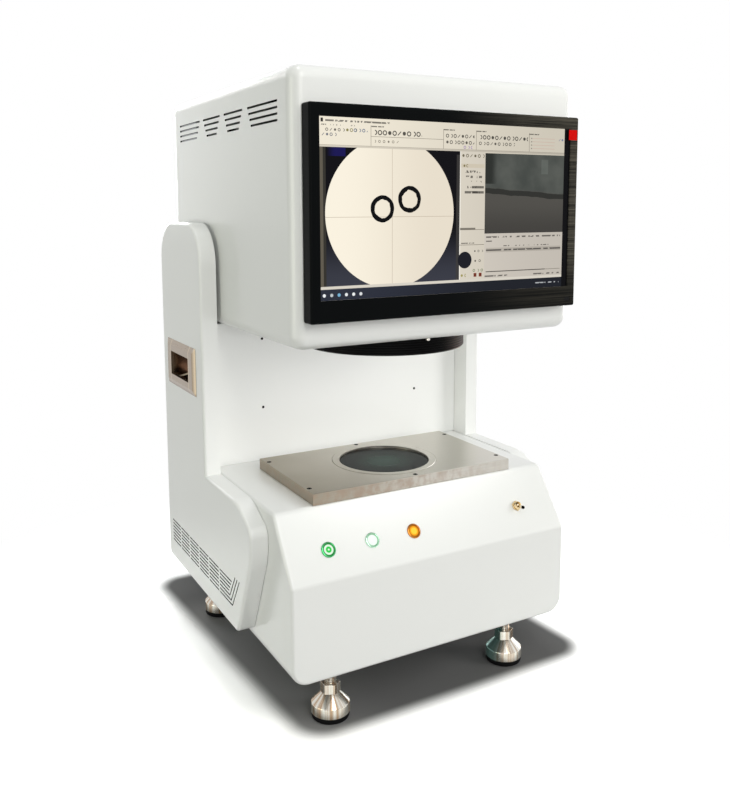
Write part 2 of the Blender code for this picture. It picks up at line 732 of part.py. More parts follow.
def base_vent_hooks(side):
    """Leaning slots that rise from the front ends of the lowest rows."""
    x_low, x_high = across(side, CASING_OUTER_X - SHEET - OVERRUN / 2, CASING_OUTER_X + OVERRUN)
    top_of_hooks = base_vent_z(BASE_VENT_FIRST_HOOK_ROW) + BASE_VENT_HOOK_HEIGHT
    slots = []
    for row in range(BASE_VENT_FIRST_HOOK_ROW, BASE_VENT_ROWS):
        low_z = base_vent_z(row)
        rise = top_of_hooks - low_z
        length = rise / math.cos(BASE_VENT_HOOK_LEAN)
        middle = Vector(
            (
                (x_low + x_high) / 2,
                base_vent_front(row) - rise * math.tan(BASE_VENT_HOOK_LEAN) / 2,
                low_z + rise / 2,
            )
        )
        half = Vector((x_high - x_low, BASE_VENT_HEIGHT, length)) / 2
        turn = Matrix.Rotation(BASE_VENT_HOOK_LEAN, 3, "X")
        slots.append(box_matrix(middle - half, middle + half, turn))
    return slots


def make_side_casing(name, side):
    """An L-shaped hollow slab: closed all round, with an opening on its inner side."""
    corners = casing_corners()
    low, high = across(side, CASING_INNER_X, CASING_OUTER_X)
    casing = plate(name, [rounded_outline(corners)], "YZ", low, high, WHITE_PAINT)
    round_rim(casing, side * CASING_OUTER_X, CASING_EDGE_RADIUS, CASING_EDGE_STEPS)
    hollow_low, hollow_high = across(side, CASING_INNER_X + SHEET, CASING_OUTER_X - SHEET)
    hollow = plate(
        name + "_hollow",
        [rounded_outline(inset(corners, CASING_EDGE_RADIUS))],
        "YZ",
        hollow_low,
        hollow_high,
    )
    door_low, door_high = across(
        side, CASING_INNER_X - OVERRUN, CASING_INNER_X + SHEET + OVERRUN
    )
    door = box(
        name + "_door",
        (door_low, THROAT_PANEL_Y + CASING_DOOR_MARGIN, CASING_BOTTOM_Z + CASING_DOOR_MARGIN),
        (door_high, CASING_REAR_Y - CASING_DOOR_MARGIN, HEAD_BOTTOM_Z - CASING_DOOR_MARGIN),
    )
    half_length = HANDLE_MOUTH_LENGTH / 2 + HANDLE_WALL + SEAT_GAP
    half_height = HANDLE_MOUTH_HEIGHT / 2 + HANDLE_WALL + SEAT_GAP
    hole_low, hole_high = across(
        side, CASING_OUTER_X - SHEET - OVERRUN, CASING_OUTER_X + OVERRUN
    )
    hole = box(
        name + "_handle_hole",
        (hole_low, HANDLE_CENTRE_Y - half_length, HANDLE_CENTRE_Z - half_height),
        (hole_high, HANDLE_CENTRE_Y + half_length, HANDLE_CENTRE_Z + half_height),
    )
    rows = boxes(name + "_vent_rows", base_vent_rows(side))
    hooks = boxes(name + "_vent_hooks", base_vent_hooks(side))
    cut(casing, hollow, door, hole, rows, hooks)
    boss_y = (COLUMN_FRONT_Y + COLUMN_REAR_Y) / 2
    for number, height in enumerate(CASING_BOSS_HEIGHTS):
        boss = cylinder(
            f"{name}_boss_{number}",
            CASING_BOSS_RADIUS,
            COLUMN_HALF_WIDTH + SEAT_GAP,
            CASING_OUTER_X - SHEET / 2,
            steps=8,
            matrix=Matrix.Translation((0, boss_y, CASING_BOTTOM_Z + height))
            @ Matrix.Rotation(side * math.pi / 2, 4, "Y"),
        )
        join(casing, boss)
    return smooth(casing)


def make_handle(name, side):
    """A bevelled frame with a cup behind it, scooped deep at the top."""
    low, high = across(side, CASING_OUTER_X + SEAT_GAP, CASING_OUTER_X + HANDLE_STANDOFF)
    centre = Vector((0, HANDLE_CENTRE_Y, HANDLE_CENTRE_Z))
    size = Vector((0, HANDLE_LENGTH / 2, HANDLE_HEIGHT / 2))
    handle = box(
        name,
        centre - size + Vector((low, 0, 0)),
        centre + size + Vector((high, 0, 0)),
        SATIN_NICKEL,
    )
    bm = bmesh.new()
    bm.from_mesh(handle.data)
    front = max(bm.faces, key=lambda face: face.calc_center_median().x * side)
    taper = Matrix.Diagonal(
        (1, 1 - 2 * HANDLE_BEVEL / HANDLE_LENGTH, 1 - 2 * HANDLE_BEVEL / HANDLE_HEIGHT)
    )
    bmesh.ops.transform(bm, matrix=taper.to_4x4(), verts=front.verts)
    bm.to_mesh(handle.data)
    bm.free()
    mouth = Vector((0, HANDLE_MOUTH_LENGTH / 2, HANDLE_MOUTH_HEIGHT / 2))
    wall = Vector((0, HANDLE_WALL, HANDLE_WALL))
    cup_low, cup_high = across(
        side, CASING_OUTER_X - HANDLE_DEPTH, CASING_OUTER_X + HANDLE_STANDOFF / 2
    )
    cup = box(
        name + "_cup",
        centre - mouth - wall + Vector((cup_low, 0, 0)),
        centre + mouth + wall + Vector((cup_high, 0, 0)),
    )
    join(handle, cup)
    top_z = HANDLE_CENTRE_Z + HANDLE_MOUTH_HEIGHT / 2
    bottom_z = HANDLE_CENTRE_Z - HANDLE_MOUTH_HEIGHT / 2
    face_x = CASING_OUTER_X + HANDLE_STANDOFF + OVERRUN
    deep_x = CASING_OUTER_X - HANDLE_DEPTH + HANDLE_WALL
    edge_x = CASING_OUTER_X + HANDLE_STANDOFF - HANDLE_WALL
    reach = min(edge_x - deep_x, HANDLE_MOUTH_HEIGHT)
    scoop = [(bottom_z, face_x), (bottom_z, edge_x), (bottom_z + reach / 3, edge_x - reach / 12)]
    scoop += [(bottom_z + 3 * reach / 4, deep_x + reach / 4), (top_z, deep_x), (top_z, face_x)]
    scoop = [(z, side * x) for z, x in scoop]
    mouth_cut = plate(
        name + "_mouth",
        [scoop],
        "ZX",
        HANDLE_CENTRE_Y - HANDLE_MOUTH_LENGTH / 2,
        HANDLE_CENTRE_Y + HANDLE_MOUTH_LENGTH / 2,
    )
    return cut(handle, mouth_cut)


def make_base_housing():
    """Deck, sloped panel, front and flanks folded from one sheet, open at the back."""
    rear_y = THROAT_PANEL_Y + HOUSING_REAR_LAP
    profile = [
        (CONSOLE_FRONT_Y, HOUSING_BOTTOM_Z, HOUSING_FRONT_RADIUS),
        (rear_y, HOUSING_BOTTOM_Z, 0),
        (rear_y, DECK_Z, 0),
        (SLOPE_TOP_Y, DECK_Z, SLOPE_TOP_RADIUS),
        (CONSOLE_FRONT_Y, SLOPE_BOTTOM_Z, SLOPE_FOOT_RADIUS),
    ]
    half = HOUSING_HALF_WIDTH
    housing = plate(
        "base_housing", [rounded_outline(profile)], "YZ", -half, half, WHITE_PAINT
    )
    section = [
        (HOUSING_BOTTOM_Z, -half, HOUSING_FLOOR_RADIUS),
        (DECK_Z + OVERRUN, -half, 0),
        (DECK_Z + OVERRUN, half, 0),
        (HOUSING_BOTTOM_Z, half, HOUSING_FLOOR_RADIUS),
    ]
    envelope = plate(
        "base_housing_envelope",
        [rounded_outline(section)],
        "ZX",
        CONSOLE_FRONT_Y - OVERRUN,
        rear_y + OVERRUN,
    )
    boolean(housing, envelope, "INTERSECT")
    bevel(housing, HOUSING_SIDE_RADIUS, 2, math.radians(50))
    settle(housing)
    bm = bmesh.new()
    bm.from_mesh(housing.data)
    back = [face for face in bm.faces if face.normal.y > 1 - WELD]
    bmesh.ops.delete(bm, geom=back, context="FACES")
    for vertex in bm.verts:
        if vertex.is_boundary:
            vertex.co.y = rear_y
    bm.to_mesh(housing.data)
    bm.free()
    wall = housing.modifiers.new("wall", "SOLIDIFY")
    wall.thickness = SHEET
    wall.offset = -1
    wall.use_even_offset = True
    floor_half = half - HOUSING_FLOOR_RADIUS
    floor_cut = box(
        "base_housing_floor_opening",
        (-floor_half, CONSOLE_FRONT_Y + HOUSING_FLOOR_LIP, HOUSING_BOTTOM_Z - OVERRUN),
        (floor_half, rear_y + OVERRUN, HOUSING_BOTTOM_Z + SHEET + OVERRUN),
    )
    light_cut = cylinder(
        "base_housing_light_hole",
        BACKLIGHT_RADIUS - BACKLIGHT_WALL,
        DECK_Z - SHEET - OVERRUN,
        DECK_Z + OVERRUN,
        matrix=Matrix.Translation((0, STAGE_CENTRE_Y, 0)),
    )
    cut(housing, floor_cut, light_cut)
    for number in range(3):
        hole = cylinder(
            f"base_housing_button_hole_{number}",
            BUTTON_BARREL_RADIUS + BUTTON_HOLE_GAP,
            -SHEET - OVERRUN,
            OVERRUN,
            matrix=slope_frame(button_x(number), BUTTONS_DOWN_SLOPE),
            steps=BUTTON_STEPS,
        )
        cut(housing, hole)
    hole = cylinder(
        "base_housing_switch_hole",
        SWITCH_BUSH_RADIUS + BUTTON_HOLE_GAP,
        -SHEET - OVERRUN,
        OVERRUN,
        matrix=slope_frame(SWITCH_X, SWITCH_DOWN_SLOPE),
        steps=LEVER_STEPS,
    )
    return smooth(cut(housing, hole))


def button_x(number):
    return BUTTON_SIDE_INSET - HOUSING_HALF_WIDTH + number * BUTTON_SPACING


def foot_places():
    return {
        "front_left": (-FRONT_FOOT_X, FRONT_FOOT_Y),
        "front_right": (FRONT_FOOT_X, FRONT_FOOT_Y),
        "rear_left": (-REAR_FOOT_X, REAR_FOOT_Y),
        "rear_right": (REAR_FOOT_X, REAR_FOOT_Y),
    }


def make_base_frame():
    """A steel plate between the covers, with a threaded boss over each foot."""
    half = HOUSING_HALF_WIDTH - SHEET - SEAT_GAP
    front_y = CONSOLE_FRONT_Y + SHEET + SEAT_GAP
    frame = box(
        "base_frame",
        (-half, front_y, BASE_PLATE_BOTTOM_Z),
        (half, COLUMN_REAR_Y, BASE_PLATE_TOP_Z),
        GREY_PAINT,
    )
    for place, (x, y) in foot_places().items():
        boss = cylinder(
            f"base_frame_boss_{place}",
            BASE_BOSS_RADIUS,
            BASE_PLATE_BOTTOM_Z - BASE_BOSS_DROP,
            BASE_PLATE_BOTTOM_Z + BASE_PLATE_THICKNESS / 2,
            matrix=Matrix.Translation((x, y, 0)),
            steps=16,
        )
        join(frame, boss)
    for place, (x, y) in foot_places().items():
        bore = cylinder(
            f"base_frame_bore_{place}",
            STUD_RADIUS + STUD_BORE_GAP,
            BASE_PLATE_BOTTOM_Z - BASE_BOSS_DROP - OVERRUN,
            BASE_PLATE_TOP_Z + OVERRUN,
            matrix=Matrix.Translation((x, y, 0)),
            steps=16,
        )
        cut(frame, bore)
    return frame


def make_foot(place, x, y):
    """A rubber pad, a coned steel foot and the threaded stud that lifts the machine."""
    spot = Matrix.Translation((x, y, 0))
    turned(
        f"foot_pad_{place}",
        [
            (0, PAD_HEIGHT),
            (PAD_RADIUS, PAD_HEIGHT),
            (PAD_RADIUS, PAD_EDGE),
            (PAD_RADIUS - PAD_EDGE, 0),
            (0, 0),
        ],
        BLACK_RUBBER,
        spot,
        FOOT_STEPS,
    )
    low = PAD_HEIGHT + SEAT_GAP
    bore = STUD_RADIUS + STUD_BORE_GAP
    turned(
        f"foot_base_{place}",
        [
            (bore, FOOT_TOP_Z),
            (FOOT_TOP_RADIUS, FOOT_TOP_Z),
            (FOOT_RADIUS - FOOT_EDGE, low + FOOT_BAND + FOOT_EDGE),
            (FOOT_RADIUS, low + FOOT_BAND),
            (FOOT_RADIUS, low + FOOT_EDGE),
            (FOOT_RADIUS - FOOT_EDGE, low),
            (bore, low),
        ],
        SATIN_NICKEL,
        spot,
        FOOT_STEPS,
    )
    plug = cylinder(
        f"foot_base_floor_{place}",
        bore + FOOT_EDGE,
        low,
        FOOT_TOP_Z - STUD_SEAT_DEPTH,
        matrix=spot,
        steps=FOOT_STEPS,
    )
    join(bpy.data.objects[f"foot_base_{place}"], plug)
    stud = cylinder(
        f"foot_stud_{place}",
        STUD_RADIUS,
        FOOT_TOP_Z - STUD_SEAT_DEPTH + SEAT_GAP,
        BASE_PLATE_TOP_Z - STUD_END_GAP,
        CHROME,
        spot,
        steps=14,
    )
    hexagon = cylinder(
        f"foot_hexagon_{place}",
        HEX_ACROSS_FLATS / math.sqrt(3),
        FOOT_TOP_Z + SEAT_GAP,
        FOOT_TOP_Z + SEAT_GAP + HEX_HEIGHT,
        matrix=spot,
        steps=6,
    )
    return join(stud, hexagon)


def make_column_frame():
    """A cast portal: two posts from the base to the head, joined at foot and top."""
    outer = [
        (COLUMN_BOTTOM_Z, -COLUMN_HALF_WIDTH, 0),
        (COLUMN_TOP_Z, -COLUMN_HALF_WIDTH, HEAD_RADIUS),
        (COLUMN_TOP_Z, COLUMN_HALF_WIDTH, HEAD_RADIUS),
        (COLUMN_BOTTOM_Z, COLUMN_HALF_WIDTH, 0),
    ]
    half = COLUMN_HALF_WIDTH - COLUMN_POST_WIDTH
    inner = [
        (COLUMN_BOTTOM_Z + COLUMN_FOOT, -half),
        (COLUMN_TOP_Z - COLUMN_HEAD, -half),
        (COLUMN_TOP_Z - COLUMN_HEAD, half),
        (COLUMN_BOTTOM_Z + COLUMN_FOOT, half),
    ]
    return plate(
        "column_frame",
        [rounded_outline(outer), inner],
        "ZX",
        COLUMN_FRONT_Y,
        COLUMN_REAR_Y,
        CAST_ALUMINIUM,
    )


def make_throat_panel():
    """The panel behind the stage, with its screw holes."""
    half = HOUSING_HALF_WIDTH
    panel = box(
        "throat_panel",
        (-half, THROAT_PANEL_Y, DECK_Z + SEAT_GAP),
        (half, THROAT_PANEL_Y + SHEET, HEAD_BOTTOM_Z - SEAT_GAP),
        WHITE_PAINT,
    )
    for row, height in enumerate(PANEL_SCREW_HEIGHTS):
        for side in (-1, 1):
            hole = cylinder(
                f"throat_panel_hole_{row}_{side}",
                PANEL_SCREW_RADIUS,
                -OVERRUN,
                OVERRUN,
                matrix=Matrix.Translation((side * PANEL_SCREW_X, THROAT_PANEL_Y, DECK_Z + height))
                @ Matrix.Rotation(math.pi / 2, 4, "X"),
                steps=8,
            )
            cut(panel, hole)
    return panel


def louvres(name, centre_z, low_y, high_y):
    """Two blocks of horizontal slots, side by side, as a cutter."""
    slots = []
    for side in (-1, 1):
        for row in range(LOUVRE_COUNT):
            z = centre_z + (row - (LOUVRE_COUNT - 1) / 2) * LOUVRE_PITCH
            x = side * LOUVRE_SPACING / 2
            slots.append(
                box_matrix(
                    (x - LOUVRE_LENGTH / 2, low_y, z - LOUVRE_HEIGHT / 2),
                    (x + LOUVRE_LENGTH / 2, high_y, z + LOUVRE_HEIGHT / 2),
                )
            )
    return boxes(name, slots)


def make_rear_cover():
    half = HOUSING_HALF_WIDTH
    cover = box(
        "rear_cover",
        (-half, CASING_REAR_Y - SHEET, CASING_BOTTOM_Z),
        (half, CASING_REAR_Y, HEAD_BOTTOM_Z - SEAT_GAP),
        WHITE_PAINT,
    )
    slots = louvres(
        "rear_cover_louvres",
        HEAD_BOTTOM_Z - REAR_LOUVRE_DROP,
        CASING_REAR_Y - SHEET - OVERRUN / 2,
        CASING_REAR_Y + OVERRUN,
    )
    half_width = INLET_BODY_WIDTH / 2 + SEAT_GAP
    half_height = INLET_BODY_HEIGHT / 2 + SEAT_GAP
    z = CASING_BOTTOM_Z + INLET_RISE
    inlet_cut = box(
        "rear_cover_inlet_hole",
        (INLET_X - half_width, CASING_REAR_Y - SHEET - OVERRUN, z - half_height),
        (INLET_X + half_width, CASING_REAR_Y + OVERRUN, z + half_height),
    )
    return cut(cover, slots, inlet_cut)


def make_mains_inlet():
    """A flanged inlet with an open socket."""
    z = CASING_BOTTOM_Z + INLET_RISE
    face_y = CASING_REAR_Y + SEAT_GAP
    inlet = box(
        "mains_inlet",
        (INLET_X - INLET_WIDTH / 2, face_y, z - INLET_HEIGHT / 2),
        (INLET_X + INLET_WIDTH / 2, face_y + INLET_FLANGE, z + INLET_HEIGHT / 2),
        BLACK_PLASTIC,
    )
    body = box(
        "mains_inlet_body",
        (INLET_X - INLET_BODY_WIDTH / 2, face_y - INLET_BODY_DEPTH, z - INLET_BODY_HEIGHT / 2),
        (INLET_X + INLET_BODY_WIDTH / 2, face_y + INLET_FLANGE / 2, z + INLET_BODY_HEIGHT / 2),
    )
    socket = box(
        "mains_inlet_socket",
        (
            INLET_X - INLET_SOCKET_WIDTH / 2,
            face_y + INLET_FLANGE - INLET_SOCKET_DEPTH,
            z - INLET_SOCKET_HEIGHT / 2,
        ),
        (INLET_X + INLET_SOCKET_WIDTH / 2, face_y + OVERRUN, z + INLET_SOCKET_HEIGHT / 2),
    )
    return cut(join(inlet, body), socket)


def head_vents(side):
    """Four groups of horizontal slots whose ends step in to make slanted groups."""
    x_low, x_high = across(side, HEAD_WIDTH / 2 - SHEET - OVERRUN, HEAD_WIDTH / 2 + OVERRUN)
    slots = []
    for start, end, start_slant, end_slant in zip(
        HEAD_VENT_START_SHARES, HEAD_VENT_END_SHARES, HEAD_VENT_START_SLANTS, HEAD_VENT_END_SLANTS
    ):
        start_y = HEAD_FRONT_Y + start * HEAD_DEPTH
        end_y = HEAD_FRONT_Y + end * HEAD_DEPTH
        for row in range(HEAD_VENT_ROWS):
            z = HEAD_TOP_Z - HEAD_VENT_TOP_DROP - row * HEAD_VENT_PITCH
            slots.append(
                box_matrix(
                    (x_low, start_y + row * start_slant, z - HEAD_VENT_HEIGHT / 2),
                    (x_high, end_y - row * end_slant, z + HEAD_VENT_HEIGHT / 2),
                )
            )
    return slots


def make_head_housing():
    """A rounded box of sheet, with openings for the monitor, lens, column and rear cover."""
    half = HEAD_WIDTH / 2
    low = Vector((-half, HEAD_FRONT_Y, HEAD_BOTTOM_Z))
    high = Vector((half, HEAD_REAR_Y, HEAD_TOP_Z))
    wall = Vector((SHEET, SHEET, SHEET))
    housing = box("head_housing", low, high, WHITE_PAINT)
    bevel(housing, HEAD_RADIUS, HEAD_EDGE_STEPS)
    hollow = bevel(box("head_hollow", low + wall, high - wall), HEAD_RADIUS - SHEET, HEAD_EDGE_STEPS)
    gap = MONITOR_OPENING_GAP
    monitor_hole = box(
        "head_monitor_hole",
        (
            -MONITOR_BACK_WIDTH / 2 - gap,
            HEAD_FRONT_Y - OVERRUN,
            SCREEN_CENTRE_Z - MONITOR_BACK_HEIGHT / 2 - gap,
        ),
        (
            MONITOR_BACK_WIDTH / 2 + gap,
            HEAD_FRONT_Y + SHEET + OVERRUN,
            SCREEN_CENTRE_Z + MONITOR_BACK_HEIGHT / 2 + gap,
        ),
    )
    lens_hole = cylinder(
        "head_lens_hole",
        LENS_RADIUS + LENS_HOLE_GAP,
        HEAD_BOTTOM_Z - OVERRUN,
        HEAD_BOTTOM_Z + SHEET + OVERRUN,
        matrix=Matrix.Translation((0, STAGE_CENTRE_Y, 0)),
        steps=32,
    )
    column_hole = box(
        "head_column_hole",
        (
            -COLUMN_HALF_WIDTH - SEAT_GAP / 2,
            COLUMN_FRONT_Y - HEAD_COLUMN_MARGIN,
            HEAD_BOTTOM_Z - OVERRUN,
        ),
        (
            COLUMN_HALF_WIDTH + SEAT_GAP / 2,
            COLUMN_REAR_Y + SEAT_GAP,
            HEAD_BOTTOM_Z + HEAD_RADIUS + OVERRUN,
        ),
    )
    rear_z = (HEAD_BOTTOM_Z + HEAD_TOP_Z) / 2
    rear_hole = box(
        "head_rear_hole",
        (-HEAD_COVER_WIDTH / 2, HEAD_REAR_Y - SHEET - OVERRUN, rear_z - HEAD_COVER_HEIGHT / 2),
        (HEAD_COVER_WIDTH / 2, HEAD_REAR_Y + OVERRUN, rear_z + HEAD_COVER_HEIGHT / 2),
    )
    left_vents = boxes("head_left_vents", head_vents(-1))
    right_vents = boxes("head_right_vents", head_vents(1))
    cut(housing, hollow, monitor_hole, lens_hole, column_hole, rear_hole, left_vents, right_vents)
    return smooth(housing)


def make_head_rear_cover():
    """A louvred plate that closes the head's rear opening from inside."""
    rear_z = (HEAD_BOTTOM_Z + HEAD_TOP_Z) / 2
    face_y = HEAD_REAR_Y - SHEET - SEAT_GAP
    cover = box(
        "head_rear_cover",
        (
            -HEAD_COVER_WIDTH / 2 - HEAD_COVER_LAP,
            face_y - SHEET,
            rear_z - HEAD_COVER_HEIGHT / 2 - HEAD_COVER_LAP,
        ),
        (
            HEAD_COVER_WIDTH / 2 + HEAD_COVER_LAP,
            face_y,
            rear_z + HEAD_COVER_HEIGHT / 2 + HEAD_COVER_LAP,
        ),
        WHITE_PAINT,
    )
    slots = louvres("head_rear_louvres", rear_z, face_y - SHEET - OVERRUN / 2, face_y + OVERRUN)
    return cut(cover, slots)


def make_monitor():
    """A deep frame on the head's front, the screen behind its lip, and the back cover."""
    half = MONITOR_WIDTH / 2
    frame = box(
        "monitor_frame",
        (-half, MONITOR_FRONT_Y, MONITOR_BOTTOM_Z),
        (half, HEAD_FRONT_Y - SEAT_GAP, MONITOR_TOP_Z),
        BLACK_PLASTIC,
    )
    bevel(frame, MONITOR_EDGE_RADIUS, MONITOR_EDGE_STEPS)
    window = box(
        "monitor_window",
        (-SCREEN_WIDTH / 2, MONITOR_FRONT_Y - OVERRUN, SCREEN_BOTTOM_Z),
        (SCREEN_WIDTH / 2, SCREEN_FRONT_Y + OVERRUN, SCREEN_BOTTOM_Z + SCREEN_HEIGHT),
    )
    pocket_half = SCREEN_WIDTH / 2 + SCREEN_LAP
    pocket = box(
        "monitor_pocket",
        (-pocket_half, SCREEN_FRONT_Y - SEAT_GAP, SCREEN_BOTTOM_Z - SCREEN_LAP),
        (pocket_half, HEAD_FRONT_Y + OVERRUN, SCREEN_BOTTOM_Z + SCREEN_HEIGHT + SCREEN_LAP),
    )
    indicator_z = MONITOR_BOTTOM_Z + INDICATOR_RISE
    seat = box(
        "monitor_indicator_seat",
        (
            INDICATOR_X - INDICATOR_WIDTH / 2 - SEAT_GAP,
            MONITOR_FRONT_Y - OVERRUN,
            indicator_z - INDICATOR_HEIGHT / 2 - SEAT_GAP,
        ),
        (
            INDICATOR_X + INDICATOR_WIDTH / 2 + SEAT_GAP,
            MONITOR_FRONT_Y + INDICATOR_DEPTH,
            indicator_z + INDICATOR_HEIGHT / 2 + SEAT_GAP,
        ),
    )
    smooth(cut(frame, window, pocket, seat))
    box(
        "monitor_indicator",
        (
            INDICATOR_X - INDICATOR_WIDTH / 2,
            MONITOR_FRONT_Y + INDICATOR_SINK,
            indicator_z - INDICATOR_HEIGHT / 2,
        ),
        (
            INDICATOR_X + INDICATOR_WIDTH / 2,
            MONITOR_FRONT_Y + INDICATOR_DEPTH - SEAT_GAP,
            indicator_z + INDICATOR_HEIGHT / 2,
        ),
        SCREEN_GLASS,
    )
    panel_half = pocket_half - SEAT_GAP
    box(
        "screen",
        (-panel_half, SCREEN_FRONT_Y, SCREEN_BOTTOM_Z - SCREEN_LAP + SEAT_GAP),
        (panel_half, SCREEN_REAR_Y, SCREEN_BOTTOM_Z + SCREEN_HEIGHT + SCREEN_LAP - SEAT_GAP),
        SCREEN_GLASS,
    )
    make_monitor_back()
    make_monitor_bracket()


def make_monitor_back():
    """A tray behind the screen, with sloped sides, open towards the screen."""
    half = MONITOR_BACK_WIDTH / 2
    low_z = SCREEN_CENTRE_Z - MONITOR_BACK_HEIGHT / 2
    high_z = SCREEN_CENTRE_Z + MONITOR_BACK_HEIGHT / 2
    back = box(
        "monitor_back",
        (-half, MONITOR_BACK_FRONT_Y, low_z),
        (half, MONITOR_BACK_REAR_Y, high_z),
        BLACK_PLASTIC,
    )
    bevel(back, MONITOR_BACK_CHAMFER, 1)
    wall = MONITOR_BACK_WALL
    hollow = box(
        "monitor_back_hollow",
        (-half + MONITOR_BACK_CHAMFER, MONITOR_BACK_FRONT_Y - OVERRUN, low_z + MONITOR_BACK_CHAMFER),
        (half - MONITOR_BACK_CHAMFER, MONITOR_BACK_REAR_Y - wall, high_z - MONITOR_BACK_CHAMFER),
    )
    return cut(back, hollow)


def make_monitor_bracket():
    """Two rails from the head's floor to its roof, joined by a bar behind the monitor."""
    face_y = MONITOR_BACK_REAR_Y + SEAT_GAP
    low_z = HEAD_BOTTOM_Z + SHEET + SEAT_GAP
    high_z = HEAD_TOP_Z - SHEET - SEAT_GAP
    bar = box(
        "monitor_bracket",
        (-BRACKET_RAIL_X, face_y, SCREEN_CENTRE_Z - BRACKET_BAR_HEIGHT / 2),
        (BRACKET_RAIL_X, face_y + BRACKET_RAIL_DEPTH, SCREEN_CENTRE_Z + BRACKET_BAR_HEIGHT / 2),
        GREY_PAINT,
    )
    for side in (-1, 1):
        x_low, x_high = across(
            side,
            BRACKET_RAIL_X - BRACKET_RAIL_WIDTH / 2,
            BRACKET_RAIL_X + BRACKET_RAIL_WIDTH / 2,
        )
        rail = box(
            f"monitor_bracket_rail_{side}",
            (x_low, face_y, low_z),
            (x_high, face_y + BRACKET_RAIL_DEPTH, high_z),
        )
        join(bar, rail)
    return bar


def lens_ring_profile():
    """Down the ribbed outer side, then up the stepped bore."""
    top = LENS_RING_TOP_Z
    bottom = LENS_BOTTOM_Z
    profile = [(LENS_SEAT_RADIUS, top), (LENS_RADIUS, top)]
    first = bottom + LENS_GROOVE_RISE
    for groove in reversed(range(LENS_GROOVE_COUNT)):
        low = first + groove * LENS_GROOVE_PITCH
        high = low + LENS_GROOVE_PITCH / 2
        profile += [
            (LENS_RADIUS, high),
            (LENS_RADIUS - LENS_GROOVE_DEPTH, high),
            (LENS_RADIUS - LENS_GROOVE_DEPTH, low),
            (LENS_RADIUS, low),
        ]
    profile += [
        (LENS_RADIUS, bottom + LENS_CHAMFER),
        (LENS_RADIUS - LENS_CHAMFER, bottom),
        (LENS_MOUTH_RADIUS, bottom),
        (LENS_MOUTH_RADIUS, bottom + LENS_LIP),
        (LENS_SEAT_RADIUS, bottom + LENS_LIP),
    ]
    return profile


def make_lens():
    axis = Matrix.Translation((0, STAGE_CENTRE_Y, 0))
    turned("lens_ring", lens_ring_profile(), BLACK_ANODISED, axis, LENS_STEPS)
    glass_z = LENS_BOTTOM_Z + LENS_LIP + SEAT_GAP
    radius = LENS_SEAT_RADIUS - SEAT_GAP
    turned(
        "lens_glass",
        [
            (0, glass_z + LENS_GLASS_RIM + LENS_GLASS_CROWN),
            (radius / 2, glass_z + LENS_GLASS_RIM + 3 * LENS_GLASS_CROWN / 4),
            (radius, glass_z + LENS_GLASS_RIM),
            (radius, glass_z),
            (0, glass_z),
        ],
        LENS_GLASS,
        axis,
        LENS_STEPS,
    )
    foot_z = LENS_RING_TOP_Z + SEAT_GAP
    neck_z = foot_z + BARREL_FOOT_HEIGHT
    flange_z = neck_z + BARREL_NECK_HEIGHT
    cone_z = flange_z + BARREL_FLANGE_HEIGHT
    end_z = HEAD_TOP_Z - SHEET - BARREL_ROOF_GAP - CAMERA_HEIGHT - CAMERA_MOUNT_HEIGHT - SEAT_GAP
    top_z = end_z - BARREL_TOP_HEIGHT
    turned(
        "lens_barrel",
        [
            (BARREL_TOP_RADIUS - BARREL_WALL, end_z),
            (BARREL_TOP_RADIUS, end_z),
            (BARREL_TOP_RADIUS, top_z),
            (BARREL_RADIUS, cone_z),
            (BARREL_FOOT_RADIUS, cone_z),
            (BARREL_FOOT_RADIUS, flange_z),
            (BARREL_RADIUS, flange_z),
            (BARREL_RADIUS, neck_z),
            (BARREL_FOOT_RADIUS, neck_z),
            (BARREL_FOOT_RADIUS, foot_z),
            (BARREL_RADIUS - BARREL_WALL, foot_z),
            (BARREL_RADIUS - BARREL_WALL, cone_z),
            (BARREL_TOP_RADIUS - BARREL_WALL, top_z),
        ],
        BLACK_ANODISED,
        axis,
        BARREL_STEPS,
    )
    make_lens_bracket(flange_z)
    make_camera(end_z + SEAT_GAP)
    turn = Matrix.Rotation(LOCK_SCREW_ANGLE, 4, "Z") @ Matrix.Rotation(math.pi / 2, 4, "X")
    z = LENS_BOTTOM_Z + LOCK_SCREW_RISE + SEAT_GAP
    cylinder(
        "lens_lock_screw",
        LOCK_SCREW_RADIUS,
        LENS_RADIUS + SEAT_GAP,
        LENS_RADIUS + SEAT_GAP + LOCK_SCREW_LENGTH,
        CHROME,
        Matrix.Translation((0, STAGE_CENTRE_Y, z)) @ turn,
        steps=16,
    )


def make_lens_bracket(flange_z):
    """A plate bolted to the column's front, bored for the barrel's neck."""
    high = flange_z - SEAT_GAP
    half = LENS_BRACKET_WIDTH / 2
    front_y = STAGE_CENTRE_Y - LENS_BRACKET_FRONT
    outline = [
        (-half, front_y + LENS_BRACKET_CORNER, 0),
        (-half + LENS_BRACKET_CORNER, front_y, 0),
        (half - LENS_BRACKET_CORNER, front_y, 0),
        (half, front_y + LENS_BRACKET_CORNER, 0),
        (half, COLUMN_FRONT_Y - SEAT_GAP, 0),
        (-half, COLUMN_FRONT_Y - SEAT_GAP, 0),
    ]
    bore = circle_points((0, STAGE_CENTRE_Y), BARREL_RADIUS + SEAT_GAP, BARREL_STEPS)
    return plate(
        "lens_bracket",
        [rounded_outline(outline), bore],
        "XY",
        high - LENS_BRACKET_THICKNESS,
        high,
        CAST_ALUMINIUM,
    )


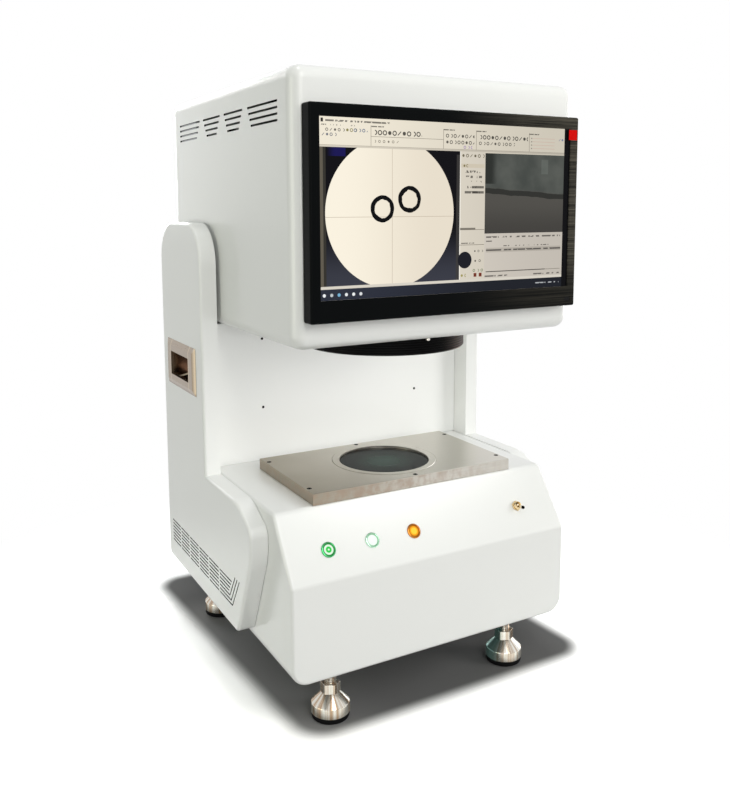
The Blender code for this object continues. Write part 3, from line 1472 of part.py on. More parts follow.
def make_camera(low):
    half = CAMERA_SIDE / 2
    body_z = low + CAMERA_MOUNT_HEIGHT
    camera = box(
        "camera",
        (-half, STAGE_CENTRE_Y - half, body_z),
        (half, STAGE_CENTRE_Y + half, body_z + CAMERA_HEIGHT),
        BLACK_ANODISED,
    )
    bevel(camera, CAMERA_EDGE_RADIUS, 1)
    mount = cylinder(
        "camera_mount",
        BARREL_TOP_RADIUS - BARREL_WALL / 2,
        low,
        body_z + CAMERA_EDGE_RADIUS,
        matrix=Matrix.Translation((0, STAGE_CENTRE_Y, 0)),
        steps=16,
    )
    return join(camera, mount)


def stage_screw_places():
    side_x = STAGE_WIDTH / 2 - STAGE_SCREW_SIDE_INSET
    front_y = STAGE_FRONT_Y + STAGE_SCREW_CORNER_INSET
    rear_y = STAGE_REAR_Y - STAGE_SCREW_CORNER_INSET
    return [
        (-side_x, front_y),
        (0, STAGE_FRONT_Y + STAGE_SCREW_END_INSET),
        (side_x, front_y),
        (side_x, rear_y),
        (0, STAGE_REAR_Y - STAGE_SCREW_END_INSET),
        (-side_x, rear_y),
    ]


def make_stage():
    """A thick steel plate with a stepped bore for the glass and the ring that holds it."""
    half = STAGE_WIDTH / 2
    plate_solid = box(
        "stage_plate",
        (-half, STAGE_FRONT_Y, STAGE_BOTTOM_Z),
        (half, STAGE_REAR_Y, STAGE_TOP_Z),
        BRUSHED_STEEL,
    )
    bevel(plate_solid, STAGE_EDGE_RADIUS, 1)
    axis = Matrix.Translation((0, STAGE_CENTRE_Y, 0))
    bore = cylinder(
        "stage_bore",
        STAGE_BORE_RADIUS,
        STAGE_BOTTOM_Z - OVERRUN,
        STAGE_TOP_Z + OVERRUN,
        matrix=axis,
        steps=32,
    )
    ring_low = STAGE_TOP_Z + STAGE_RING_PROUD - STAGE_RING_THICKNESS
    glass_high = ring_low - SEAT_GAP
    glass_low = glass_high - GLASS_THICKNESS
    seat = cylinder(
        "stage_seat",
        STAGE_RING_RADIUS,
        glass_low - SEAT_GAP,
        STAGE_TOP_Z + OVERRUN,
        matrix=axis,
        steps=32,
    )
    cut(plate_solid, bore, seat)
    head_z = STAGE_TOP_Z - STAGE_SCREW_SINK
    for number, (x, y) in enumerate(stage_screw_places(), 1):
        spot = Matrix.Translation((x, y, 0))
        pocket = cylinder(
            f"stage_screw_pocket_{number}",
            STAGE_SCREW_RADIUS + SEAT_GAP,
            head_z - STAGE_SCREW_HEAD - SEAT_GAP,
            STAGE_TOP_Z + OVERRUN,
            matrix=spot,
            steps=10,
        )
        cut(plate_solid, pocket)
        screw = cylinder(
            f"stage_screw_{number}",
            STAGE_SCREW_RADIUS,
            head_z - STAGE_SCREW_HEAD,
            head_z,
            BLACK_ANODISED,
            spot,
            steps=10,
        )
        socket = cylinder(
            f"stage_screw_socket_{number}",
            STAGE_SCREW_SOCKET_RADIUS,
            head_z - STAGE_SCREW_SOCKET_DEPTH,
            head_z + OVERRUN,
            matrix=spot,
            steps=6,
        )
        cut(screw, socket)
    ring = cylinder(
        "stage_ring",
        STAGE_RING_RADIUS - SEAT_GAP,
        ring_low,
        ring_low + STAGE_RING_THICKNESS,
        BRUSHED_STEEL,
        axis,
        steps=32,
    )
    ring_hole = cylinder(
        "stage_ring_hole",
        STAGE_RING_RADIUS - STAGE_RING_WIDTH,
        ring_low - OVERRUN,
        STAGE_TOP_Z + OVERRUN,
        matrix=axis,
        steps=32,
    )
    cut(ring, ring_hole)
    cylinder(
        "stage_glass",
        STAGE_RING_RADIUS - SEAT_GAP,
        glass_low,
        glass_high,
        STAGE_GLASS,
        axis,
        steps=32,
    )


def make_stage_support():
    """A bridge over the base plate that takes the stage's weight under the deck."""
    low_z = BASE_PLATE_TOP_Z + SEAT_GAP
    high_z = DECK_Z - SHEET - SEAT_GAP
    half = SUPPORT_WIDTH / 2
    inner = half - SUPPORT_LEG
    portal = [
        (low_z, -half),
        (high_z, -half),
        (high_z, half),
        (low_z, half),
        (low_z, inner),
        (high_z - SUPPORT_TOP, inner),
        (high_z - SUPPORT_TOP, -inner),
        (low_z, -inner),
    ]
    bridge = plate(
        "stage_support",
        [portal],
        "ZX",
        STAGE_CENTRE_Y - SUPPORT_DEPTH / 2,
        STAGE_CENTRE_Y + SUPPORT_DEPTH / 2,
        GREY_PAINT,
    )
    bore = cylinder(
        "stage_support_bore",
        BACKLIGHT_RADIUS + SEAT_GAP,
        high_z - SUPPORT_TOP - OVERRUN,
        high_z + OVERRUN,
        matrix=Matrix.Translation((0, STAGE_CENTRE_Y, 0)),
        steps=BARREL_STEPS,
    )
    return cut(bridge, bore)


def make_backlight():
    """A tube on the base plate with a lamp at its foot and a condenser near its top."""
    axis = Matrix.Translation((0, STAGE_CENTRE_Y, 0))
    low_z = BASE_PLATE_TOP_Z + SEAT_GAP
    high_z = DECK_Z - SHEET - SEAT_GAP
    bore = BACKLIGHT_RADIUS - BACKLIGHT_WALL
    seat_z = high_z - CONDENSER_SEAT_DEPTH
    turned(
        "backlight_tube",
        [
            (bore, high_z),
            (BACKLIGHT_RADIUS, high_z),
            (BACKLIGHT_RADIUS, low_z),
            (bore - CONDENSER_SEAT_WIDTH, low_z),
            (bore - CONDENSER_SEAT_WIDTH, seat_z),
            (bore, seat_z),
        ],
        BLACK_ANODISED,
        axis,
        BARREL_STEPS,
    )
    glass_z = seat_z + SEAT_GAP
    turned(
        "condenser_lens",
        [
            (0, glass_z + CONDENSER_RIM + CONDENSER_CROWN),
            (CONDENSER_RADIUS / 2, glass_z + CONDENSER_RIM + 3 * CONDENSER_CROWN / 4),
            (CONDENSER_RADIUS, glass_z + CONDENSER_RIM),
            (CONDENSER_RADIUS, glass_z),
            (0, glass_z),
        ],
        LENS_GLASS,
        axis,
        BARREL_STEPS,
    )
    turned(
        "lamp_module",
        [
            (0, low_z + LAMP_HEIGHT),
            (LAMP_RADIUS, low_z + LAMP_HEIGHT),
            (LAMP_RADIUS, low_z + LAMP_FIN_HEIGHT),
            (LAMP_FIN_RADIUS, low_z + LAMP_FIN_HEIGHT),
            (LAMP_FIN_RADIUS, low_z),
            (0, low_z),
        ],
        CAST_ALUMINIUM,
        axis,
        24,
    )


def make_button(number, name, finish):
    """A fixed metal body through the panel and the lit cap that is pressed into it."""
    place = slope_frame(button_x(number), BUTTONS_DOWN_SLOPE)
    bore = BUTTON_CAP_RADIUS + BUTTON_CAP_GAP
    nut_top = -SHEET - SEAT_GAP
    nut_low = nut_top - BUTTON_NUT_HEIGHT
    edge = BUTTON_RIM / 3
    turned(
        f"{name}_body",
        [
            (bore, BUTTON_RIM),
            (BUTTON_RADIUS - edge, BUTTON_RIM),
            (BUTTON_RADIUS, BUTTON_RIM - edge),
            (BUTTON_RADIUS, SEAT_GAP),
            (BUTTON_BARREL_RADIUS, SEAT_GAP),
            (BUTTON_BARREL_RADIUS, nut_top),
            (BUTTON_NUT_RADIUS, nut_top),
            (BUTTON_NUT_RADIUS, nut_low),
            (BUTTON_BARREL_RADIUS, nut_low),
            (BUTTON_BARREL_RADIUS, -BUTTON_DEPTH),
            (bore, -BUTTON_DEPTH),
        ],
        CHROME,
        place,
        BUTTON_STEPS,
    )
    floor = cylinder(
        f"{name}_floor",
        bore + BUTTON_CAP_GAP,
        -BUTTON_DEPTH,
        -BUTTON_CAP_DEPTH - BUTTON_TRAVEL - SEAT_GAP,
        matrix=place,
        steps=BUTTON_STEPS,
    )
    join(bpy.data.objects[f"{name}_body"], floor)
    turned(
        f"{name}_cap",
        [
            (0, BUTTON_CAP_RISE),
            (BUTTON_CAP_RADIUS - edge, BUTTON_CAP_RISE),
            (BUTTON_CAP_RADIUS, BUTTON_CAP_RISE - edge),
            (BUTTON_CAP_RADIUS, -BUTTON_CAP_DEPTH),
            (0, -BUTTON_CAP_DEPTH),
        ],
        finish,
        place,
        BUTTON_STEPS,
    )


def make_switch():
    """A toggle switch: bushing and nut through the panel, and a lever on a cross pivot."""
    place = slope_frame(SWITCH_X, SWITCH_DOWN_SLOPE)
    body_top = -SHEET - SEAT_GAP
    body = turned(
        "switch_body",
        [
            (SWITCH_MOUTH_RADIUS, SWITCH_BUSH_HEIGHT),
            (SWITCH_BUSH_RADIUS, SWITCH_BUSH_HEIGHT),
            (SWITCH_BUSH_RADIUS, body_top - SEAT_GAP),
            (SWITCH_BORE_RADIUS, body_top - SEAT_GAP),
            (SWITCH_BORE_RADIUS, LEVER_PIVOT_RISE),
        ],
        CHROME,
        place,
        LEVER_STEPS,
    )
    nut = cylinder(
        "switch_nut",
        SWITCH_NUT_RADIUS,
        SEAT_GAP,
        SEAT_GAP + SWITCH_NUT_HEIGHT,
        matrix=place,
        steps=6,
    )
    nut_bore = cylinder(
        "switch_nut_bore",
        (SWITCH_BUSH_RADIUS + SWITCH_MOUTH_RADIUS) / 2,
        -OVERRUN,
        SWITCH_BUSH_HEIGHT + OVERRUN,
        matrix=place,
        steps=LEVER_STEPS,
    )
    cut(nut, nut_bore)
    half = Vector((SWITCH_BODY_WIDTH / 2, SWITCH_BODY_LENGTH / 2, 0))
    block = boxes(
        "switch_block",
        [
            place
            @ box_matrix(
                -half + Vector((0, 0, body_top - SWITCH_BODY_DEPTH)),
                half + Vector((0, 0, body_top)),
            )
        ],
    )
    well = cylinder(
        "switch_well",
        SWITCH_BORE_RADIUS,
        LEVER_PIVOT_RISE - SWITCH_BORE_DEPTH,
        body_top + OVERRUN,
        matrix=place,
        steps=LEVER_STEPS,
    )
    join(body, nut, block)
    cut(body, well)
    pivot = place @ Matrix.Translation((0, 0, LEVER_PIVOT_RISE))
    tilt = pivot @ Matrix.Rotation(LEVER_TILT, 4, "X")
    ball = LEVER_BALL_RADIUS
    tip = LEVER_TIP_RADIUS
    profile = [(0, LEVER_LENGTH)]
    for step in range(1, 4):
        angle = math.pi / 2 * step / 3
        profile.append((tip * math.sin(angle), LEVER_LENGTH - tip + tip * math.cos(angle)))
    for step in range(1, 7):
        angle = math.pi * step / 6
        if ball * math.sin(angle) > LEVER_NECK_RADIUS or step > 3:
            profile.append((max(ball * math.sin(angle), 0), ball * math.cos(angle)))
    profile[4:4] = [(LEVER_NECK_RADIUS, math.sqrt(ball**2 - LEVER_NECK_RADIUS**2))]
    profile[-1] = (0, -ball)
    turned("switch_lever", profile, CHROME, tilt, LEVER_STEPS)


def make_unit(name, x_low, x_high, height):
    """A closed electronics box standing on the column's foot."""
    low_z = COLUMN_BOTTOM_Z + COLUMN_FOOT + SEAT_GAP
    unit = box(
        name,
        (x_low, COLUMN_FRONT_Y + UNIT_END_GAP, low_z),
        (x_high, COLUMN_REAR_Y - UNIT_END_GAP, low_z + height),
        CAST_ALUMINIUM,
    )
    return bevel(unit, UNIT_EDGE_RADIUS, 1)


def make_units():
    """The computer and the power supply, side by side between the column's posts."""
    end_x = COLUMN_HALF_WIDTH - COLUMN_POST_WIDTH - UNIT_SIDE_GAP
    supply_x = end_x - SUPPLY_WIDTH
    make_unit("computer_unit", -end_x, supply_x - UNIT_SIDE_GAP, COMPUTER_HEIGHT)
    make_unit("power_supply", supply_x, end_x, SUPPLY_HEIGHT)


def main():
    make_base_frame()
    make_base_housing()
    make_side_casing("left_side_casing", -1)
    make_side_casing("right_side_casing", 1)
    make_handle("left_handle", -1)
    make_handle("right_handle", 1)
    for place, (x, y) in foot_places().items():
        make_foot(place, x, y)
    make_column_frame()
    make_throat_panel()
    make_rear_cover()
    make_mains_inlet()
    make_head_housing()
    make_head_rear_cover()
    make_monitor()
    make_lens()
    make_stage_support()
    make_backlight()
    make_stage()
    make_button(0, "power_button", GREEN_LENS)
    make_button(1, "start_button", CLEAR_LENS)
    make_button(2, "lamp_button", AMBER_LENS)
    make_switch()
    make_units()


main()
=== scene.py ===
"""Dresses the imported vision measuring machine: shells, trim, finishes, studio and camera."""

import math

import bmesh
import bpy
from bpy.props import FloatProperty, FloatVectorProperty, IntProperty, PointerProperty
from mathutils import Matrix, Vector


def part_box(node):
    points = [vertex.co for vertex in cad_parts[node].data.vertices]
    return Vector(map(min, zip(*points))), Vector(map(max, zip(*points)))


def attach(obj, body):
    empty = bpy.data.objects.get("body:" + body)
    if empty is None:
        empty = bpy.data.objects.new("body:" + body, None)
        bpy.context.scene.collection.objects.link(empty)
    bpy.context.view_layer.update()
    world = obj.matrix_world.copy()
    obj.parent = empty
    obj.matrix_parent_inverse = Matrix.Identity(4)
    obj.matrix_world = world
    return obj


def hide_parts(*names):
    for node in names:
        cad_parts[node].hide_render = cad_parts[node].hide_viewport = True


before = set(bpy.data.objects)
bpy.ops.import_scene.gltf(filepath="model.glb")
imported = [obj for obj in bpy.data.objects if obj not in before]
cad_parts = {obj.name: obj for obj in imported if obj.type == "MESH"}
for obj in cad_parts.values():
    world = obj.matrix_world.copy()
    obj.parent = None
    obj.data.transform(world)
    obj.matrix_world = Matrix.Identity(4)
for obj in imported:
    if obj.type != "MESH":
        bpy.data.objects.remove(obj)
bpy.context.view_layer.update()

bl_info = {
    "name": "Vision Measuring Machine",
    "version": (1, 0, 0),
    "blender": (4, 5, 0),
    "location": "View3D > Sidebar > Machine",
    "description": "Dresses the packed machine and sets up its studio",
    "category": "Object",
}

SIDES = {"left": -1, "right": 1}
PLACES = ("front_left", "front_right", "rear_left", "rear_right")
BUTTONS = ("power_button", "start_button", "lamp_button")
WELD = 1e-6
OVERRUN = 0.004
CLEAR = 0.0003
SEEN_RAYS = ("Is Camera Ray", "Is Glossy Ray", "Is Transmission Ray")
STUDIO_AIM = Vector((0, 0, 0.45))
CAMERA_SPOT = (-0.7941, -1.4379, 0.8586)
CAMERA_TURN = (29.10, 7.03, -0.19)
CAMERA_LENS = 38.455
CAMERA_SHIFT = -0.11
PLANES = {
    "YZ": Matrix(((0, 0, 1), (1, 0, 0), (0, 1, 0))),
    "ZX": Matrix(((0, 1, 0), (0, 0, 1), (1, 0, 0))),
}


def length(name, description, default):
    """A length that shows in the sidebar, in metres."""
    return FloatProperty(
        name=name, description=description, default=default, precision=4,
        subtype="DISTANCE", unit="LENGTH",
    )


def lengths(name, description, default):
    """Several lengths of one kind, in metres."""
    return FloatVectorProperty(
        name=name, description=description, default=default, size=len(default), precision=4,
        unit="LENGTH",
    )


def angle(name, description, degrees):
    return FloatProperty(
        name=name, description=description, default=math.radians(degrees), subtype="ANGLE",
        unit="ROTATION",
    )


def colour(name, description, default):
    """A colour as the screen shows it, from 0 to 255, stored as Blender's linear values."""
    linear = [((v / 255 + 0.055) / 1.055) ** 2.4 if v > 10 else v / 255 / 12.92 for v in default]
    return FloatVectorProperty(
        name=name, description=description, default=linear, size=3, min=0, max=1,
        subtype="COLOR",
    )


class MachineSizes(bpy.types.PropertyGroup):
    """Sizes and places of the shells and trim."""

    sheet: length("Sheet", "Thickness of the painted sheet", 0.0025)
    head_radius: length("Head radius", "Rounding of the head's edges", 0.022)
    casing_edge: length("Casing edge", "Rounding of the casings' outer rims", 0.006)
    casing_width: length("Casing width", "Width of a casing along X", 0.031)
    casing_toe: length("Casing toe", "Y of the casing's bottom front corner", -0.112)
    casing_nose: length("Casing nose", "Y of the casing's foremost corner", -0.182)
    casing_brow: length("Casing brow", "Y where the casing's top meets its nose", -0.118)
    casing_drop: length("Nose drop", "Height of the deck over the casing's nose", 0.032)
    casing_chin: length("Chin drop", "Height of the deck over the corner under the nose", 0.080)
    casing_radii: lengths(
        "Casing radii", "Rounding of foot, upright, brow, nose and chin",
        (0.014, 0.075, 0.080, 0.022, 0.100),
    )
    upright_front: length("Upright front", "Y of the upright's front edge", 0.042)
    deck: length("Deck", "Height of the base housing's deck", 0.365)
    slope_run: length("Slope run", "Depth of the sloped panel", 0.070)
    slope_rise: length("Slope rise", "Height of the sloped panel", 0.101)
    slope_radii: lengths("Slope radii", "Bends over and under the slope", (0.014, 0.010))
    console_edge: length("Console edge", "Rounding of the base housing's flanks", 0.006)
    console_floor: length("Console floor radius", "Rounding of its bottom corners", 0.030)
    buttons_down: length("Buttons down", "Distance of the buttons down the slope", 0.0735)
    switch_down: length("Switch down", "Distance of the switch down the slope", 0.0690)
    head_vent_drop: length("Head vent drop", "Top slot below the head's top", 0.0495)
    head_vent_pitch: length("Head vent pitch", "Pitch of the head's slots", 0.0097)
    head_vent_height: length("Head vent height", "Height of a slot in the head", 0.0034)
    head_vent_starts: lengths(
        "Head vent starts", "Slot groups' front ends behind the head's face",
        (0.052, 0.197, 0.306, 0.416),
    )
    head_vent_ends: lengths(
        "Head vent ends", "Slot groups' rear ends", (0.174, 0.285, 0.396, 0.538)
    )
    head_vent_start_steps: lengths(
        "Start steps", "How far each row's front end steps back", (0.0, 0.0056, 0.0058, 0.006)
    )
    head_vent_end_steps: lengths(
        "End steps", "How far each row's rear end steps forward", (0.0046, 0.0052, 0.006, 0.0)
    )
    base_vent_drop: length("Base vent drop", "Top row below the deck", 0.1515)
    base_vent_pitch: length("Base vent pitch", "Pitch of the casing's fine slots", 0.007)
    base_vent_height: length("Base vent height", "Height of a fine slot", 0.0026)
    base_vent_front: length("Base vent front", "Y of the first hook's foot", -0.0795)
    base_vent_gap: length("Base vent gap", "Bar between slots in a row", 0.0055)
    base_vent_inset: length("Base vent inset", "Rows' rear end from the casing's back", 0.030)
    base_vent_hook: length("Hook height", "Rise of the leaning slots", 0.042)
    base_vent_hook_step: length("Hook step", "Pitch of the leaning slots' feet", 0.006)
    base_vent_hook_gap: length("Hook gap", "Upper rows' distance from the first hook", 0.008)
    base_vent_lean: angle("Hook lean", "Lean of the rising slots", 32.5)
    base_vent_rows: IntProperty(name="Base vent rows", description="Rows of slots", default=7)
    base_vent_columns: IntProperty(name="Base vent columns", description="Slots a row", default=6)
    base_vent_hooks: IntProperty(name="Base vent hooks", description="Rising slots", default=3)
    throat_screws: lengths(
        "Throat screws", "Distance from the middle, and height of each row", (0.174, 0.471, 0.606)
    )
    handle_bevel: length("Handle bevel", "Width of the handle frame's bevel", 0.0115)
    handle_mouth: lengths("Handle mouth", "Length and height of the mouth", (0.109, 0.046))
    handle_wall: length("Handle wall", "Thickness of the cup", 0.002)
    handle_scoop: length("Handle scoop", "Radius of the cup's scoop", 0.026)
    monitor_edge: length("Monitor edge", "Rounding of the monitor's frame", 0.0035)
    window: lengths("Window", "Width and height of the screen's opening", (0.479, 0.2695))
    window_chamfer: length("Window chamfer", "Slope round the screen's opening", 0.0025)
    chin: length("Chin", "Frame below the opening", 0.0345)
    sticker: lengths(
        "Sticker", "Left, bottom, right and top of the red sticker",
        (0.2345, 0.9705, 0.2530, 0.9875),
    )
    stage_bore: length("Stage bore", "Radius of the light's hole in the stage", 0.080)
    stage_seat: length("Stage seat", "Radius of the ring's seat", 0.098)
    ring_width: length("Ring width", "Width of the ring on the stage's glass", 0.0135)
    groove_pitch: length("Groove pitch", "Pitch of the lens ring's grooves", 0.0042)
    groove_depth: length("Groove depth", "Depth of the lens ring's grooves", 0.0013)
    lens_lip: length("Lens lip", "Plain rim under the lens ring's grooves", 0.0045)
    lens_mouth: length("Lens mouth", "Radius of the lens ring's mouth", 0.120)
    lens_seat: length("Lens seat", "Radius that holds the lens glass", 0.129)
    thread_pitch: length("Thread pitch", "Pitch of the feet's studs", 0.0025)
    thread_depth: length("Thread depth", "Depth of the studs' thread", 0.0011)


class MachineColours(bpy.types.PropertyGroup):
    """Colours of the finishes."""

    paint: colour("Paint", "White powder coat", (240, 241, 239))
    steel: colour("Steel", "Brushed stage plate", (205, 201, 192))
    # Painted shade: the stage plate's left side is drawn darker.
    steel_painted_shade: colour("Steel shade", "Darker left side of the stage plate", (152, 143, 126))
    # Brown mottling down the plate's sides, fading out towards the right.
    side_mottle: colour("Stain", "Brown mottling on the plate's sides", (160, 138, 120))
    nickel: colour("Nickel", "Plated feet and switch", (228, 226, 218))
    # Painted reflection: brown upright streaks in the plating.
    nickel_reflected_brown: colour("Nickel shade", "Brown upright streaks in the plating", (178, 150, 120))
    # Painted reflection: a cool tint on one side of the plating.
    nickel_reflected_teal: colour("Nickel tint", "Cool tint of the plating", (128, 184, 178))
    handle: colour("Handle", "Brushed handles", (154, 140, 124))
    # Painted highlight: the bright sweep in the handle's cup.
    handle_painted_gleam: colour("Handle gleam", "Bright sweep in the handle's cup", (250, 236, 214))
    # Painted highlight on the handle's front bevel.
    handle_painted_highlight: colour("Handle light", "Handle's front bevel", (226, 208, 176))
    # Painted shade: the handle's cup and lower bevel.
    handle_painted_shade: colour("Handle shade", "Handle's cup and lower bevel", (112, 88, 72))
    warm: colour("Warm tint", "Tint of the brushed metal's streaks", (190, 172, 146))
    bezel: colour("Bezel", "Brushed black monitor frame", (9, 11, 12))
    # Painted reflection: the monitor frame's lighter right side.
    bezel_sheen: colour("Bezel sheen", "Lighter right side of the frame", (88, 84, 75))
    # Painted shade: near black inner faces of the covers, standing for the dark inside.
    inside: colour("Inside", "Blackened inner faces of the covers", (9, 9, 10))
    brass: colour("Brass", "Nut and bushing of the switch", (228, 206, 164))
    anodised: colour("Anodised", "Black lens barrel and screws", (5, 5, 5))
    ribs: colour("Ribs", "Brown light on the lens ring's ribs", (112, 88, 74))
    rubber: colour("Rubber", "Foot pads", (7, 7, 8))
    casting: colour("Casting", "Machined aluminium", (176, 178, 180))
    grey: colour("Grey", "Inner frame's paint", (118, 121, 124))
    glass: colour("Stage glass", "Dark glass over the backlight", (12, 18, 17))
    glow: colour("Backlight glow", "Light through the middle of the glass", (48, 68, 60))
    coating: colour("Lens coating", "Coated front lens", (30, 22, 52))
    sticker: colour("Sticker", "Plain red sticker on the monitor", (214, 10, 8))
    power: colour("Power light", "Light of the first button", (34, 206, 70))
    start: colour("Start light", "Light of the second button", (214, 255, 224))
    lamp: colour("Lamp light", "Light of the third button", (255, 164, 28))
    lamp_middle: colour("Lamp middle", "Middle of the third button", (255, 222, 70))


class Signal:
    """A shader socket. Arithmetic on it adds Math nodes to its finish."""

    def __init__(self, finish, socket):
        self.finish = finish
        self.socket = socket

    def sum(self, operation, first, second=0.0, third=0.0):
        return self.finish.node(
            "ShaderNodeMath", {"operation": operation}, {0: first, 1: second, 2: third}
        )

    def __add__(self, other):
        return self.sum("ADD", self, other)

    def __radd__(self, other):
        return self.sum("ADD", other, self)

    def __sub__(self, other):
        return self.sum("SUBTRACT", self, other)

    def __rsub__(self, other):
        return self.sum("SUBTRACT", other, self)

    def __mul__(self, other):
        return self.sum("MULTIPLY", self, other)

    def __rmul__(self, other):
        return self.sum("MULTIPLY", other, self)

    def __truediv__(self, other):
        return self.sum("DIVIDE", self, other)

    def __pow__(self, other):
        return self.sum("POWER", self, other)

    def __mod__(self, other):
        return self.sum("FLOORED_MODULO", self, other)

    def __gt__(self, other):
        return self.sum("GREATER_THAN", self, other)

    def __lt__(self, other):
        return self.sum("LESS_THAN", self, other)

    def __abs__(self):
        return self.sum("ABSOLUTE", self)

    def larger(self, other):
        return self.sum("MAXIMUM", self, other)

    def inside(self, low, high):
        """1 between two values and 0 elsewhere."""
        return (self > low) * (self < high)

    def fade(self, low, high):
        """0 below low, 1 above high and smooth between."""
        return self.finish.node(
            "ShaderNodeMapRange",
            {"interpolation_type": "SMOOTHSTEP"},
            {"Value": self, "From Min": low, "From Max": high, "To Min": 0.0, "To Max": 1.0},
        )


class Finish:
    """A material with one Principled shader and the nodes that vary it."""

    def __init__(self, name, **sockets):
        self.material = bpy.data.materials.new(name)
        self.material.use_nodes = True
        self.tree = self.material.node_tree
        self.shader = self.tree.nodes["Principled BSDF"]
        self.set(**sockets)
        tone = self.shader.inputs["Base Color"].default_value
        self.material.diffuse_color = tuple(tone)

    def feed(self, socket, value):
        if isinstance(value, Signal):
            self.tree.links.new(value.socket, socket)
        elif socket.type == "RGBA":
            socket.default_value = (*tuple(value)[:3], 1)
        else:
            socket.default_value = value

    def set(self, **sockets):
        """Sets the shader's sockets: base_color stands for Base Color."""
        for name, value in sockets.items():
            self.feed(self.shader.inputs[name.replace("_", " ").title().replace("Ior", "IOR")], value)

    def node(self, kind, settings=None, inputs=None, output=0):
        """Adds a node, sets it up, feeds its inputs and returns one of its outputs."""
        made = self.tree.nodes.new(kind)
        for name, value in (settings or {}).items():
            setattr(made, name, value)
        for name, value in (inputs or {}).items():
            self.feed(made.inputs[name], value)
        return Signal(self, made.outputs[output])

    def place(self, scale=(1, 1, 1), centre=(0, 0, 0)):
        """Object coordinates, moved so that centre is the origin and then scaled."""
        spot = self.node("ShaderNodeTexCoord", output="Object")
        shift = tuple(-c * s for c, s in zip(centre, scale))
        return self.node(
            "ShaderNodeMapping", inputs={"Vector": spot, "Location": shift, "Scale": scale}
        )

    def axes(self, centre=(0, 0, 0)):
        """X, Y and Z of Object coordinates, measured from centre."""
        spot = self.place(centre=centre)
        parts = self.node("ShaderNodeSeparateXYZ", inputs={"Vector": spot})
        outputs = parts.socket.node.outputs
        return [Signal(self, socket) for socket in outputs]

    def noise(self, size, scale=(1, 1, 1), detail=2.0, roughness=0.5, centre=(0, 0, 0)):
        """Noise from 0 to 1 with blotches about size metres across."""
        return self.node(
            "ShaderNodeTexNoise",
            inputs={
                "Vector": self.place(scale, centre), "Scale": 1 / size, "Detail": detail,
                "Roughness": roughness,
            },
        )

    def mix(self, first, second, factor):
        """A colour between two colours."""
        return self.node(
            "ShaderNodeMix", {"data_type": "RGBA"}, {0: factor, 6: first, 7: second}, output=2
        )

    def bump(self, height, distance, strength=1.0):
        """Feeds the shader's normal from a height in units of distance."""
        normal = self.node(
            "ShaderNodeBump",
            inputs={"Height": height, "Distance": distance, "Strength": strength},
        )
        self.set(normal=normal)


def tint(base, factor):
    return tuple(min(c * factor, 1) for c in base)


def white_paint(colours):
    """Powder coat: faint orange peel, and a slightly uneven gloss."""
    finish = Finish("white_paint", coat_weight=0.35, coat_roughness=0.12)
    tone = finish.noise(0.35, detail=3)
    finish.set(
        base_color=finish.mix(tint(colours.paint, 0.975), tint(colours.paint, 1.0), tone),
        roughness=0.27 + finish.noise(0.09, detail=4) * 0.10,
    )
    finish.bump(finish.noise(0.0016, detail=1), 0.00006, 0.5)
    return finish.material


def streaks(finish, base, grain, span):
    """Long fine streaks of a colour along the grain axis, and their pattern."""
    scale = [1 / span if axis == grain else 1 / 0.0011 for axis in range(3)]
    fine = finish.noise(1, scale, detail=3, roughness=0.65)
    return finish.mix(tint(base, 0.86), tint(base, 1.08), fine), fine


def stage_steel(colours):
    """The stage's brushed steel, with painted shade that darkens it to the left, and brown mottling
    down its sides.
    """
    low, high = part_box("stage_plate")
    finish = Finish("brushed_steel", metallic=1.0)
    x, y, z = finish.axes()
    light, fine = streaks(finish, colours.steel, 0, 0.10)
    dark, fine = streaks(finish, colours.steel_painted_shade, 0, 0.10)
    broad = finish.noise(0.12, detail=2) * 0.10
    # Painted shade: the plate's colour darkens towards its left side.
    painted_shade_sweep = finish.mix(dark, light, (x + broad).fade(low.x - 0.01, high.x - 0.06))
    mottle = finish.noise(0.012, (1, 1, 0.8), detail=4).fade(0.35, 0.68)
    side = 1 - z.fade(high.z - 0.0016, high.z - 0.0009)
    finish.set(
        base_color=finish.mix(painted_shade_sweep, colours.side_mottle, side * mottle * (0.6 - x.fade(0, 0.2) * 0.5)),
        roughness=0.25 + fine * 0.12,
    )
    finish.bump(fine, 0.00002, 0.6)
    return finish.material


